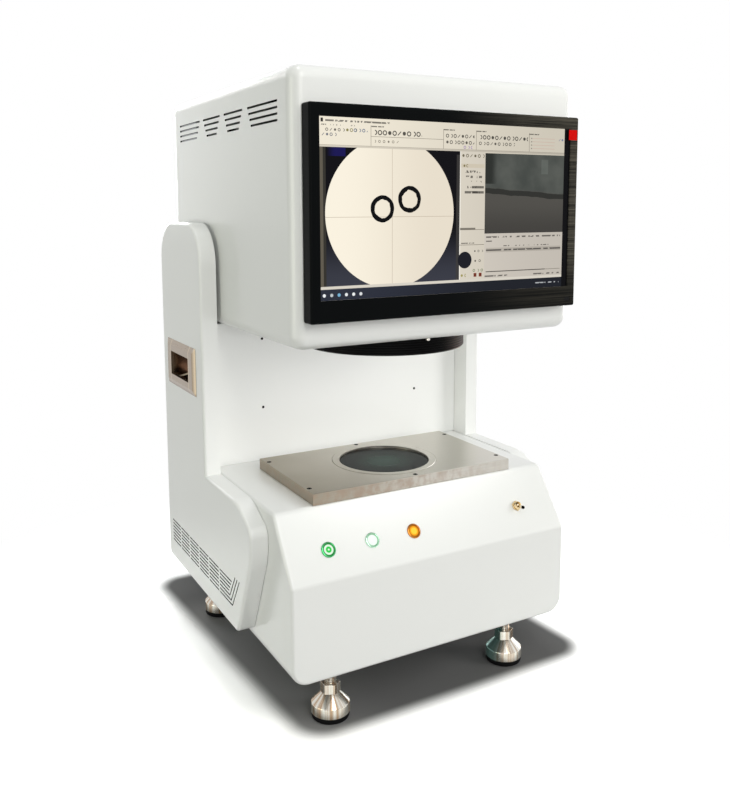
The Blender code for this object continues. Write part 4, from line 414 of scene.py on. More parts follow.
def handle_metal(colours, sizes):
    """The handles' brushed plate: painted brown shade in the cup and along two bevels, a painted
    bright sweep in the cup, and painted highlights on the front bevel and beside the mouth.
    """
    low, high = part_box("left_handle")
    outer = abs(low.x)
    finish = Finish("satin_nickel", metallic=1.0)
    x, y, z = finish.axes()
    plate, fine = streaks(finish, colours.handle, 1, 0.03)
    # Painted shade: the cup, the lower bevel and the back bevel are drawn darker, where shade falls.
    cup = 1 - abs(x).fade(outer - 0.012, outer - 0.0035)
    under = 1 - z.fade(low.z + 0.0015, low.z + 0.0085)
    back = y.fade(high.y - 0.0080, high.y - 0.0015)
    # Painted highlight: the front bevel and a band along the mouth's front and back edges are drawn
    # lighter.
    front = 1 - y.fade(low.y + 0.0020, low.y + 0.0115)
    lip = abs(y - (low.y + high.y) / 2).inside(0.0545, 0.0575)
    shade = cup.larger(under * 0.8).larger(back * 0.7)
    plate = finish.mix(plate, colours.handle_painted_highlight, front.larger(lip * 0.5) * 0.8)
    plate = finish.mix(plate, colours.handle_painted_shade, shade * (0.68 + fine * 0.3))
    # Painted highlight: a bright curved sweep drawn across the cup, less metallic and rougher.
    mouth = sizes.handle_mouth[1]
    drop = ((low.z + high.z) / 2 + mouth / 2 - z) / mouth
    sweep = y - (low.y + high.y) / 2 + 0.0283 - drop * drop * 0.049
    gleam = cup * (1 - abs(sweep).fade(0.003, 0.010))
    finish.set(
        base_color=finish.mix(plate, colours.handle_painted_gleam, gleam), metallic=1 - gleam * 0.8,
        roughness=0.24 + fine * 0.10 - cup * 0.12 + gleam * 0.2,
    )
    finish.bump(fine, 0.00002, 0.6)
    return finish.material


def plated(name, colours, fineness):
    """Polished plate of the feet, with painted reflections: brown streaks fanned round each axis, and
    a painted cool tint to the left.
    """
    finish = Finish(name, metallic=0.75)
    x, y, z = finish.axes()
    near = axis_of("foot_base_front_right").translation
    far = axis_of("foot_base_rear_right").translation
    rear = y > 0
    across_x = abs(x) - near.x - rear * (far.x - near.x)
    along_y = y - near.y - rear * (far.y - near.y)
    reach = (across_x * across_x + along_y * along_y) ** 0.5 + 1e-5
    ways = (across_x / reach, along_y / reach)
    around = finish.node(
        "ShaderNodeCombineXYZ", inputs={0: ways[0], 1: ways[1], 2: (x > 0) * 3.0}
    )
    broad = finish.node(
        "ShaderNodeTexNoise", inputs={"Vector": around, "Scale": fineness, "Detail": 2.0}
    )
    front_right = (x > 0) * (1 - rear)
    # Painted reflection: a cool tint on one side of each axis, strongest on the front right foot.
    painted_cool_reflection = (ways[1] * 0.48 - ways[0] * 0.87).fade(0.25, 0.80) * (0.2 + front_right * 0.75)
    rings = finish.noise(1, (20, 20, 1400), detail=2)
    # Painted reflection: brown streaks fanned round each axis.
    tone = finish.mix(colours.nickel_reflected_brown, colours.nickel, broad.fade(0.30, 0.62))
    finish.set(
        base_color=finish.mix(tone, colours.nickel_reflected_teal, painted_cool_reflection * 0.85),
        roughness=0.10 + rings * 0.07 + broad * 0.05,
    )
    finish.bump(rings, 0.00001, 0.5)
    return finish.material


def turned_metal(name, base, warm, roughness):
    """Plated metal turned on a lathe: fine rings up its height and faint blotches."""
    finish = Finish(name, metallic=1.0)
    rings = finish.noise(1, (20, 20, 1400), detail=2)
    blotch = finish.noise(0.02, detail=3)
    finish.set(
        base_color=finish.mix(base, warm, blotch.fade(0.5, 0.8) * 0.5),
        roughness=roughness + rings * 0.08 + blotch * 0.05,
    )
    finish.bump(rings, 0.00001, 0.5)
    return finish.material


def mottled(name, tones, patch, grain, rough, relief=None, **sockets):
    """A plain finish: two close colours in patches and an uneven gloss. Patch is (size, detail,
    strength), grain is (size, detail) and rough is (least, spread). Relief gives the grain's
    height and strength."""
    finish = Finish(name, **sockets)
    size, detail, strength = patch
    patches = finish.noise(size, detail=detail) * strength
    fine = finish.noise(grain[0], detail=grain[1])
    finish.set(base_color=finish.mix(*tones, patches), roughness=rough[0] + fine * rough[1])
    if relief:
        finish.bump(fine, *relief)
    return finish.material


def ribbed_black(colours, sizes):
    """The lens ring's black, with brown light along its ribs to the right."""
    low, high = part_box("lens_ring")
    finish = Finish("lens_black", metallic=0.2, specular_ior_level=0.06)
    x, y, z = finish.axes()
    rib = ((z - (low.z + sizes.lens_lip)) / sizes.groove_pitch % 1.0).inside(0.02, 0.56)
    wear_and_light_patches = finish.noise(0.02, (1, 1, 6), detail=3)
    # Painted highlight: brown light along the ribs towards the right, uneven in patches.
    lit_ribs = x.fade(0.030, 0.115) * rib * (0.40 + wear_and_light_patches * 0.60)
    finish.set(
        base_color=finish.mix(colours.anodised, colours.ribs, lit_ribs),
        roughness=0.34 + wear_and_light_patches * 0.12,
    )
    return finish.material


def bezel_plastic(colours):
    """Black plastic with a fine brushed pattern running across it, and a painted reflection that
    lightens it to the right, less near the bottom.
    """
    finish = Finish("black_plastic", specular_ior_level=0.03)
    x, y, z = finish.axes()
    lines = finish.noise(1, (5, 8, 600), detail=3, roughness=0.75)
    # Painted reflection: the sheen grows to the right and fades near the frame's bottom.
    sheen = x.fade(-0.02, 0.25) * (0.12 + lines.fade(0.36, 0.66) * 0.88)
    sheen = sheen * (0.3 + z.fade(0.722, 0.790) * 0.7)
    finish.set(
        base_color=finish.mix(colours.bezel, colours.bezel_sheen, sheen),
        roughness=0.26 + lines * 0.16,
    )
    finish.bump(lines, 0.00003, 0.7)
    return finish.material


def stage_glass(colours):
    """Dark polished glass, lit softly in the middle by the light under it."""
    low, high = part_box("stage_glass")
    finish = Finish("stage_glass", specular_ior_level=0.06, ior=1.3)
    x, y, z = finish.axes(centre=(low + high) / 2)
    middle = 1 - ((x * x + y * y) ** 0.5).fade(0.004, 0.070)
    smears = finish.noise(0.05, detail=4)
    finish.set(
        base_color=finish.mix(colours.glass, colours.glow, middle * 0.75),
        roughness=0.06 + smears * 0.10,
    )
    return finish.material


def lever_metal(colours, pivot):
    """The switch lever's bright plate, black at its tip."""
    finish = Finish("lever_metal", metallic=1.0)
    x, y, z = finish.axes(centre=pivot)
    reach = (x * x + y * y + z * z) ** 0.5
    grain = finish.noise(0.002, detail=2)
    bright = finish.mix(colours.brass, colours.nickel, 0.35 + grain * 0.4)
    finish.set(
        base_color=finish.mix(bright, colours.anodised, reach.fade(0.0135, 0.0150)),
        roughness=0.16 + grain * 0.1,
    )
    return finish.material


def lit(name, centre, bands):
    """A translucent cap lit from inside, in bands of colour that start at radii from centre."""
    finish = Finish(
        name, base_color=tint(bands[-1][1], 0.1), emission_strength=1.0, specular_ior_level=0.1
    )
    x, y, z = finish.axes(centre=centre)
    reach = (x * x + y * y + z * z) ** 0.5
    haze = finish.noise(0.004)
    light = bands[0][1]
    for start, band in bands[1:]:
        light = finish.mix(light, band, reach.fade(start - 0.0006, start + 0.0006))
    light = finish.mix(light, tint(bands[1][1], 0.9), haze * 0.2)
    finish.set(emission_color=light, roughness=0.18 + haze * 0.1)
    return finish.material


def solid(name, bm):
    """An object from a bmesh, which is then freed."""
    mesh = bpy.data.meshes.new(name)
    bm.to_mesh(mesh)
    bm.free()
    made = bpy.data.objects.new(name, mesh)
    bpy.context.scene.collection.objects.link(made)
    return made


def apply_modifiers(piece):
    bpy.context.view_layer.update()
    graph = bpy.context.evaluated_depsgraph_get()
    mesh = bpy.data.meshes.new_from_object(piece.evaluated_get(graph))
    piece.modifiers.clear()
    piece.data = mesh
    return piece


def carve(piece, *shapes, operation="DIFFERENCE", inside=None):
    """Cuts shapes out of a piece, or joins them to it, and frees them."""
    tools = []
    for number, bm in enumerate(shapes):
        tool = solid(f"tool_{number}", bm)
        modifier = piece.modifiers.new("carve", "BOOLEAN")
        if inside is not None:
            tool.data.materials.append(inside)
            modifier.material_mode = "TRANSFER"
        modifier.operation = operation
        modifier.solver = "EXACT"
        modifier.object = tool
        tools.append(tool)
    apply_modifiers(piece)
    for tool in tools:
        bpy.data.objects.remove(tool)
    return piece


def complete(piece, body, slot, finish=None, node=None, sharp=32):
    """Smooths a piece, ties it to its body and hides the node it stands for; its slot is not used.
    The finish is a material or the name of a shared one; a piece that is painted already has none."""
    if finish is not None:
        piece.data.materials.append(FINISHES.made.get(finish, finish))
    piece.data.shade_smooth()
    piece.data.set_sharp_from_angle(angle=math.radians(sharp))
    modifier = piece.modifiers.new("even_faces", "WEIGHTED_NORMAL")
    modifier.keep_sharp = True
    modifier.weight = 100
    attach(piece, body)
    if node is not None:
        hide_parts(node)
    return piece


def whole(name, bm, *ties, **more):
    """A piece that is complete as its bmesh gives it."""
    return complete(solid(name, bm), *ties, **more)


def round_edges(bm, edges, radius, steps=3):
    bmesh.ops.bevel(
        bm, geom=list(edges), offset=radius, offset_type="OFFSET", segments=steps, profile=0.5,
        affect="EDGES", material=-1, clamp_overlap=True,
    )


def block(low, high, radius=0.0, steps=3):
    """A box with rounded edges."""
    low, high = Vector(low), Vector(high)
    bm = bmesh.new()
    place = Matrix.Translation((low + high) / 2) @ Matrix.Diagonal((*(high - low), 1))
    bmesh.ops.create_cube(bm, size=1, matrix=place)
    if radius:
        round_edges(bm, bm.edges[:], radius, steps)
    return bm


def blocks(boxes):
    """Separate boxes in one bmesh, each (low, high, turn)."""
    bm = bmesh.new()
    for low, high, turn in boxes:
        low, high = Vector(low), Vector(high)
        place = Matrix.Translation((low + high) / 2) @ turn @ Matrix.Diagonal((*(high - low), 1))
        bmesh.ops.create_cube(bm, size=1, matrix=place)
    return bm


def slab(corners, plane, low, high, steps=10):
    """An outline of (u, v, radius) corners extruded across its plane from low to high."""
    bm = bmesh.new()
    face = bm.faces.new([bm.verts.new((u, v, low)) for u, v, radius in corners])
    grown = bmesh.ops.extrude_face_region(bm, geom=[face])["geom"]
    tops = [item for item in grown if isinstance(item, bmesh.types.BMVert)]
    bmesh.ops.translate(bm, verts=tops, vec=(0, 0, high - low))
    bmesh.ops.recalc_face_normals(bm, faces=bm.faces)
    for u, v, radius in corners:
        if radius:
            edge = upright_edge(bm, u, v)
            reach = radius * math.tan(edge.calc_face_angle() / 2)
            round_edges(bm, [edge], reach, steps)
    bmesh.ops.rotate(bm, verts=bm.verts, cent=(0, 0, 0), matrix=PLANES[plane])
    bmesh.ops.recalc_face_normals(bm, faces=bm.faces)
    return bm


def upright_edge(bm, u, v):
    """The edge along Z over the point (u, v)."""
    spot = Vector((u, v))
    for edge in bm.edges:
        if all((vert.co.xy - spot).length < WELD for vert in edge.verts):
            return edge
    raise RuntimeError(f"the outline has no corner at {u}, {v}")


def turned(profile, steps=96, place=None):
    """A shape turned about Z from (radius, height) points; it is a ring unless it starts at 0."""
    bm = bmesh.new()
    verts = [bm.verts.new((radius, 0, height)) for radius, height in profile]
    edges = [bm.edges.new(pair) for pair in zip(verts, verts[1:])]
    if profile[0][0] > 0 and profile[-1][0] > 0:
        edges.append(bm.edges.new((verts[-1], verts[0])))
    bmesh.ops.spin(
        bm, geom=verts + edges, cent=(0, 0, 0), axis=(0, 0, 1), angle=math.tau, steps=steps,
        use_merge=True,
    )
    bmesh.ops.remove_doubles(bm, verts=bm.verts, dist=WELD)
    bmesh.ops.recalc_face_normals(bm, faces=bm.faces)
    if place is not None:
        bmesh.ops.transform(bm, matrix=place, verts=bm.verts)
    return bm


def prism(sides, radius, low, high, chamfer=0.0, place=None):
    """A bar with flat sides along Z, its end edges chamfered."""
    bm = bmesh.new()
    bmesh.ops.create_cone(
        bm, cap_ends=True, segments=sides, radius1=radius, radius2=radius, depth=high - low,
        matrix=Matrix.Translation((0, 0, (low + high) / 2)),
    )
    if chamfer:
        ends = [e for e in bm.edges if abs(e.verts[0].co.z - e.verts[1].co.z) < WELD]
        round_edges(bm, ends, chamfer, 2)
    if place is not None:
        bmesh.ops.transform(bm, matrix=place, verts=bm.verts)
    return bm


def across(side, near, far):
    """Low and high X of a span given by its distances from the middle plane."""
    return (near, far) if side > 0 else (-far, -near)


def axis_of(node):
    """A place at the middle of a node's box, at floor height."""
    low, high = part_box(node)
    middle = (low + high) / 2
    return Matrix.Translation((middle.x, middle.y, 0))


def paint_node(node, painted):
    """Gives a carried-over CAD node its finish."""
    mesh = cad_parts[node].data
    mesh.materials.clear()
    mesh.materials.append(painted)


def slope_place(sizes, x, down):
    """Local Z points out of the sloped panel and local Y up it."""
    low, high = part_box("base_housing")
    run, rise = sizes.slope_run, sizes.slope_rise
    up = Vector((0, run, rise)).normalized()
    out = Vector((0, -rise, run)).normalized()
    top = Vector((x, low.y + run, sizes.deck))
    turn = Matrix((Vector((1, 0, 0)), up, out)).transposed()
    return Matrix.Translation(top - up * down) @ turn.to_4x4()


def node_x(node):
    low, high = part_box(node)
    return (low.x + high.x) / 2


def radius_of(node):
    """Half the width of a node."""
    low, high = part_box(node)
    return (high.x - low.x) / 2


def reach_of(node):
    """Nearest and furthest distance of a node's faces from the middle plane."""
    return sorted(abs(corner.x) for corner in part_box(node))


class FINISHES:
    """The shared materials, filled by the first operator."""

    made = {}


class MACHINE_OT_finishes(bpy.types.Operator):
    """Makes the shared finishes and paints the nodes that keep their CAD shape"""

    bl_idname = "machine.finishes"
    bl_label = "Finishes"

    def execute(self, context):
        colours = context.scene.machine_colours
        sizes = context.scene.machine_sizes
        made = {
            "paint": white_paint(colours),
            "steel": stage_steel(colours),
            "handle": handle_metal(colours, sizes),
            "chrome": turned_metal("chrome", colours.nickel, colours.warm, 0.10),
            "nickel": plated("turned_nickel", colours, 5.0),
            "stud": plated("plated_stud", colours, 2.5),
            "anodised": mottled(
                "black_anodised", (colours.anodised, tint(colours.anodised, 1.8)), (0.03, 3, 1),
                (0.0008, 2), (0.34, 0.12), metallic=0.3, specular_ior_level=0.2,
            ),
            "ribs": ribbed_black(colours, sizes),
            "rubber": mottled(
                "black_rubber", (colours.rubber, tint(colours.rubber, 3)), (0.012, 2, 0.5),
                (0.0009, 2), (0.68, 0.2), (0.00008, 1.0), specular_ior_level=0.12,
            ),
            "bezel": bezel_plastic(colours),
            "plastic": mottled(
                "inlet_plastic", (colours.bezel, colours.bezel), (0.03, 2, 1), (0.002, 2),
                (0.45, 0.15),
            ),
            # Painted shade: the inner faces of the shells and the walls of their cuts are near black.
            "inside": mottled(
                "painted_shade_inside", (colours.inside, tint(colours.inside, 0.6)), (0.006, 2, 1),
                (0.006, 2), (0.8, 0.1), specular_ior_level=0.1,
            ),
            "brass": turned_metal("brass", colours.brass, tint(colours.brass, 0.7), 0.18),
            "casting": mottled(
                "cast_aluminium", (tint(colours.casting, 0.85), colours.casting), (0.004, 4, 1),
                (0.004, 4), (0.42, 0.15), (0.0001, 0.5), metallic=1.0,
            ),
            "grey": mottled(
                "grey_paint", (tint(colours.grey, 0.9), colours.grey), (0.1, 2, 1), (0.0015, 3),
                (0.5, 0.12), (0.00008, 1.0),
            ),
            "stage_glass": stage_glass(colours),
            "lens_glass": mottled(
                "lens_glass", (colours.coating, tint(colours.coating, 0.5)), (0.12, 2, 1),
                (0.05, 2), (0.04, 0.04), coat_weight=1.0, coat_roughness=0.02,
            ),
            "sticker": mottled(
                "red_sticker", (tint(colours.sticker, 0.88), colours.sticker), (0.004, 2, 1),
                (0.001, 2), (0.42, 0.1), specular_ior_level=0.05,
            ),
        }
        FINISHES.made = made
        cad_nodes = {
            "paint": ("throat_panel", "rear_cover", "head_rear_cover"),
            "grey": ("base_frame", "stage_support", "monitor_bracket"),
            "casting": ("column_frame", "lens_bracket", "lamp_module"),
            "anodised": (
                "camera", "lens_barrel", "backlight_tube", "computer_unit", "power_supply",
            ),
            "plastic": ("monitor_back", "mains_inlet"),
            "stage_glass": ("stage_glass",),
            "lens_glass": ("condenser_lens",),
        }
        for finish, nodes in cad_nodes.items():
            for node in nodes:
                paint_node(node, made[finish])
        return {"FINISHED"}


class MACHINE_OT_head_housing(bpy.types.Operator):
    """Makes the white head with its openings and side vents"""

    bl_idname = "machine.head_housing"
    bl_label = "Head Housing"

    def execute(self, context):
        sizes = context.scene.machine_sizes
        low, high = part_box("head_housing")
        wall = Vector((sizes.sheet,) * 3)
        head = solid("head_shell", block(low, high, sizes.head_radius, 10))
        hollow = block(low + wall, high - wall, sizes.head_radius - sizes.sheet, 6)
        back_low, back_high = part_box("monitor_back")
        gap = 0.003
        monitor_hole = block(
            (back_low.x - gap, low.y - OVERRUN, back_low.z - gap),
            (back_high.x + gap, low.y + 2 * OVERRUN, back_high.z + gap),
        )
        lens_hole = prism(
            96, radius_of("lens_ring") + gap, low.z - OVERRUN, low.z + 2 * OVERRUN,
            place=axis_of("lens_ring"),
        )
        post_low, post_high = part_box("column_frame")
        column_hole = block(
            (post_low.x - 0.0002, post_low.y - 0.008, low.z - OVERRUN),
            (post_high.x + 0.0002, post_high.y + CLEAR, low.z + sizes.head_radius + OVERRUN),
        )
        cover_low, cover_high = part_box("head_rear_cover")
        lap = 0.010
        rear_hole = block(
            (cover_low.x + lap, high.y - 2 * OVERRUN, cover_low.z + lap),
            (cover_high.x - lap, high.y + OVERRUN, cover_high.z - lap),
        )
        vents = blocks(self.vents(sizes, low, high))
        head.data.materials.append(FINISHES.made["paint"])
        holes = (monitor_hole, lens_hole, column_hole, rear_hole)
        # Painted shade: the head's inner faces and the walls of its openings and vents are drawn near
        # black.
        carve(head, hollow, *holes, vents, inside=FINISHES.made["inside"])
        complete(head, "machine", "white_paint", node="head_housing")
        return {"FINISHED"}

    def vents(self, sizes, low, high):
        """Four groups of slots on each side, whose ends step in."""
        slots = []
        groups = list(zip(
            sizes.head_vent_starts, sizes.head_vent_ends,
            sizes.head_vent_start_steps, sizes.head_vent_end_steps,
        ))
        half = sizes.head_vent_height / 2
        for side in SIDES.values():
            x_low, x_high = across(side, high.x - 2 * OVERRUN, high.x + OVERRUN)
            for start, end, start_step, end_step in groups:
                for row in range(4):
                    z = high.z - sizes.head_vent_drop - row * sizes.head_vent_pitch
                    slots.append((
                        (x_low, low.y + start + row * start_step, z - half),
                        (x_high, low.y + end - row * end_step, z + half),
                        Matrix.Identity(4),
                    ))
        return slots


class MACHINE_OT_side_casings(bpy.types.Operator):
    """Makes the two side casings with their uprights and fine slots"""

    bl_idname = "machine.side_casings"
    bl_label = "Side Casings"

    def execute(self, context):
        sizes = context.scene.machine_sizes
        for word, side in SIDES.items():
            self.make(sizes, word, side)
        return {"FINISHED"}

    def outline(self, sizes, low, high, inwards=0.0):
        foot, top, brow, nose, chin = sizes.casing_radii
        rim = inwards
        return [
            (sizes.casing_toe + rim, low.z + rim, foot),
            (high.y - rim, low.z + rim, foot),
            (high.y - rim, high.z - rim, top - rim),
            (sizes.upright_front + rim, high.z - rim, top - rim),
            (sizes.upright_front + rim, sizes.deck - rim, 0),
            (sizes.casing_brow + rim / 2, sizes.deck - rim, brow),
            (sizes.casing_nose + rim, sizes.deck - sizes.casing_drop - rim / 2, nose),
            (sizes.casing_nose + rim, sizes.deck - sizes.casing_chin, chin),
        ]

    def make(self, sizes, word, side):
        node = f"{word}_side_casing"
        low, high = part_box(node)
        handle_low, handle_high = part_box(f"{word}_handle")
        panel_low, panel_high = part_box("throat_panel")
        outer = reach_of(node)[1]
        inner = outer - sizes.casing_width
        face_low, face_high = across(side, inner, outer)
        shape = slab(self.outline(sizes, low, high), "YZ", face_low, face_high, 16)
        rims = [
            e for e in shape.edges
            if any(f.normal.x * side > 0.99 for f in e.link_faces)
            and any(abs(f.normal.x) < 0.5 for f in e.link_faces)
        ]
        round_edges(shape, rims, sizes.casing_edge, 5)
        casing = solid(f"{word}_casing_shell", shape)
        casing.data.materials.append(FINISHES.made["paint"])
        hollow_low, hollow_high = across(side, inner + sizes.sheet, outer - sizes.sheet)
        hollow = slab(
            self.outline(sizes, low, high, sizes.casing_edge), "YZ", hollow_low, hollow_high
        )
        door_low, door_high = across(side, inner - OVERRUN, inner + 2 * OVERRUN)
        margin = 0.012
        door = block(
            (door_low, panel_low.y + margin, low.z + margin),
            (door_high, high.y - margin, panel_high.z - margin),
        )
        mouth, rise = sizes.handle_mouth[0] / 2, sizes.handle_mouth[1] / 2
        clear = sizes.handle_wall + CLEAR
        middle = (handle_low + handle_high) / 2
        hole_low, hole_high = across(side, outer - 2 * OVERRUN, outer + OVERRUN)
        hole = block(
            (hole_low, middle.y - mouth - clear, middle.z - rise - clear),
            (hole_high, middle.y + mouth + clear, middle.z + rise + clear),
        )
        vents = [blocks(slots) for slots in self.vents(sizes, side, outer, high.y)]
        # Painted shade: the casing's inner faces and the walls of its cuts are drawn near black.
        carve(casing, hollow, door, hole, *vents, inside=FINISHES.made["inside"])
        complete(casing, "machine", "white_paint", node=node)

    def vents(self, sizes, side, outer, rear):
        """Rows of fine slots, and leaning slots that rise from the lowest rows."""
        x_low, x_high = across(side, outer - 1.5 * sizes.sheet, outer + OVERRUN)
        half = sizes.base_vent_height / 2
        top = sizes.deck - sizes.base_vent_drop
        start = rear - sizes.base_vent_inset
        gap = sizes.base_vent_gap
        step = (start - sizes.base_vent_front + gap) / sizes.base_vent_columns
        rows, hooks = [], []
        for row in range(sizes.base_vent_rows):
            z = top - row * sizes.base_vent_pitch
            for column in range(sizes.base_vent_columns):
                back = start - column * step
                front = back - step + gap
                if column == sizes.base_vent_columns - 1:
                    front = self.row_front(sizes, row)
                rows.append((
                    (x_low, front, z - half), (x_high, back, z + half), Matrix.Identity(4),
                ))
        first = sizes.base_vent_rows - sizes.base_vent_hooks
        crest = top - first * sizes.base_vent_pitch + sizes.base_vent_hook
        for row in range(first, sizes.base_vent_rows):
            foot = top - row * sizes.base_vent_pitch
            rise = crest - foot
            reach = rise / math.cos(sizes.base_vent_lean)
            y = self.row_front(sizes, row) - rise * math.tan(sizes.base_vent_lean) / 2
            z = foot + rise / 2
            hooks.append((
                (x_low, y - half, z - reach / 2),
                (x_high, y + half, z + reach / 2),
                Matrix.Rotation(sizes.base_vent_lean, 4, "X"),
            ))
        return rows, hooks

    def row_front(self, sizes, row):
        """Y of a row's front end: the foot of its own hook, or short of the first hook."""
        first = sizes.base_vent_rows - sizes.base_vent_hooks
        if row >= first:
            return sizes.base_vent_front - (row - first) * sizes.base_vent_hook_step
        lean = (first - row) * sizes.base_vent_pitch * math.tan(sizes.base_vent_lean)
        return sizes.base_vent_front - lean + sizes.base_vent_hook_gap


class MACHINE_OT_base_housing(bpy.types.Operator):
    """Makes the base housing with its sloped control panel"""

    bl_idname = "machine.base_housing"
    bl_label = "Base Housing"

    def execute(self, context):
        sizes = context.scene.machine_sizes
        low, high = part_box("base_housing")
        top_y = low.y + sizes.slope_run
        slope_z = high.z - sizes.slope_rise
        shape = slab(
            [(low.y, low.z, 0), (high.y, low.z, 0), (high.y, high.z, 0), (top_y, high.z, 0),
             (low.y, slope_z, 0)],
            "YZ", low.x, high.x,
        )
        keels = [
            e for e in shape.edges
            if all(abs(v.co.z - low.z) < WELD for v in e.verts)
            and abs(e.verts[0].co.x - e.verts[1].co.x) < WELD
        ]
        round_edges(shape, keels, sizes.console_floor, 12)
        for z, radius in zip((high.z, slope_z), sizes.slope_radii):
            self.bend(shape, z, radius)
        back = [f for f in shape.faces if f.normal.y > 0.99]
        bmesh.ops.delete(shape, geom=back, context="FACES")
        rims = [e for e in shape.edges if self.is_rim(e)]
        round_edges(shape, rims, sizes.console_edge, 6)
        bmesh.ops.recalc_face_normals(shape, faces=shape.faces)
        console = solid("base_shell", shape)
        wall = console.modifiers.new("wall", "SOLIDIFY")
        wall.thickness = sizes.sheet
        wall.offset = -1
        wall.use_even_offset = True
        apply_modifiers(console)
        floor = block(
            (low.x + sizes.console_floor, low.y + 0.018, low.z - OVERRUN),
            (high.x - sizes.console_floor, high.y + OVERRUN, low.z + 2 * OVERRUN),
        )
        light = prism(
            64, radius_of("backlight_tube") - 0.003, high.z - 2 * OVERRUN, high.z + OVERRUN,
            place=axis_of("stage_plate"),
        )
        seats = [(f"{name}_cap", sizes.buttons_down, 0.0112) for name in BUTTONS]
        seats.append(("switch_body", sizes.switch_down, 0.0068))
        holes = []
        for node, down, radius in seats:
            place = slope_place(sizes, node_x(node), down)
            holes.append(prism(32, radius, -2 * OVERRUN, OVERRUN, place=place))
        carve(console, floor, light, *holes)
        complete(console, "machine", "white_paint", "paint", "base_housing")
        return {"FINISHED"}

    def bend(self, shape, z, radius):
        """Rounds the edge along X where the slope meets the deck or the front."""
        for edge in list(shape.edges):
            level = all(abs(v.co.z - z) < WELD for v in edge.verts)
            along = abs(edge.verts[0].co.y - edge.verts[1].co.y) < WELD
            if level and along and 0.2 < edge.calc_face_angle(0) < 1.3:
                round_edges(shape, [edge], radius * math.tan(edge.calc_face_angle() / 2), 8)
                return
        raise RuntimeError(f"the base housing has no bend at {z}")

    def is_rim(self, edge):
        """Edges between a flank or a keel and the front, slope or deck."""
        return edge.is_manifold and edge.calc_face_angle() > math.radians(60)


class MACHINE_OT_monitor(bpy.types.Operator):
    """Makes the monitor's frame, screen picture, indicator and sticker"""

    bl_idname = "machine.monitor"
    bl_label = "Monitor"

    def execute(self, context):
        sizes = context.scene.machine_sizes
        low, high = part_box("monitor_frame")
        frame_piece = solid("monitor_bezel", block(low, high, sizes.monitor_edge, 5))
        half = sizes.window[0] / 2
        base = low.z + sizes.chin
        window = self.window(
            half, base, base + sizes.window[1], low.y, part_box("screen")[0].y, sizes.window_chamfer
        )
        screen_low, screen_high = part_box("screen")
        clear = Vector((CLEAR, CLEAR, CLEAR))
        pocket = block(screen_low - clear, Vector((screen_high.x, high.y, screen_high.z)) + clear)
        light_low, light_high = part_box("monitor_indicator")
        seat = block(
            (light_low.x - CLEAR, low.y - OVERRUN, light_low.z - CLEAR), light_high + clear
        )
        carve(frame_piece, window, pocket, seat)
        complete(frame_piece, "machine", "black_plastic", "bezel", "monitor_frame")
        whole(
            "monitor_indicator_window", block(light_low, light_high, 0.0004, 2), "machine",
            "screen_glass", "anodised", "monitor_indicator",
        )
        left, bottom, right, top = sizes.sticker
        whole(
            "monitor_sticker",
            block((left, low.y - 0.00015, bottom), (right, low.y - 0.00002, top)),
            "machine", "black_plastic", "sticker",
        )
        paint_node("screen", screen_picture())
        return {"FINISHED"}

    def window(self, half, low_z, high_z, front_y, back_y, chamfer):
        """A cutter for the opening whose sides spread towards the front."""
        bm = block(
            (-half, front_y, low_z), (half, back_y + OVERRUN, high_z)
        )
        front = min(bm.faces, key=lambda face: face.calc_center_median().y)
        grown = bmesh.ops.extrude_face_region(bm, geom=[front])["geom"]
        tips = [item for item in grown if isinstance(item, bmesh.types.BMVert)]
        bmesh.ops.delete(bm, geom=[front], context="FACES_ONLY")
        reach = 0.0015
        bmesh.ops.translate(bm, verts=tips, vec=(0, -reach, 0))
        centre = Vector((0, front_y, (low_z + high_z) / 2))
        spread = Matrix.Diagonal(
            (1 + chamfer / half, 1, 1 + 2 * chamfer / (high_z - low_z), 1)
        )
        bmesh.ops.transform(
            bm, matrix=Matrix.Translation(centre) @ spread @ Matrix.Translation(-centre),
            verts=tips,
        )
        bmesh.ops.translate(bm, verts=bm.verts, vec=(0, reach - 0.0001, 0))
        bmesh.ops.recalc_face_normals(bm, faces=bm.faces)
        return bm


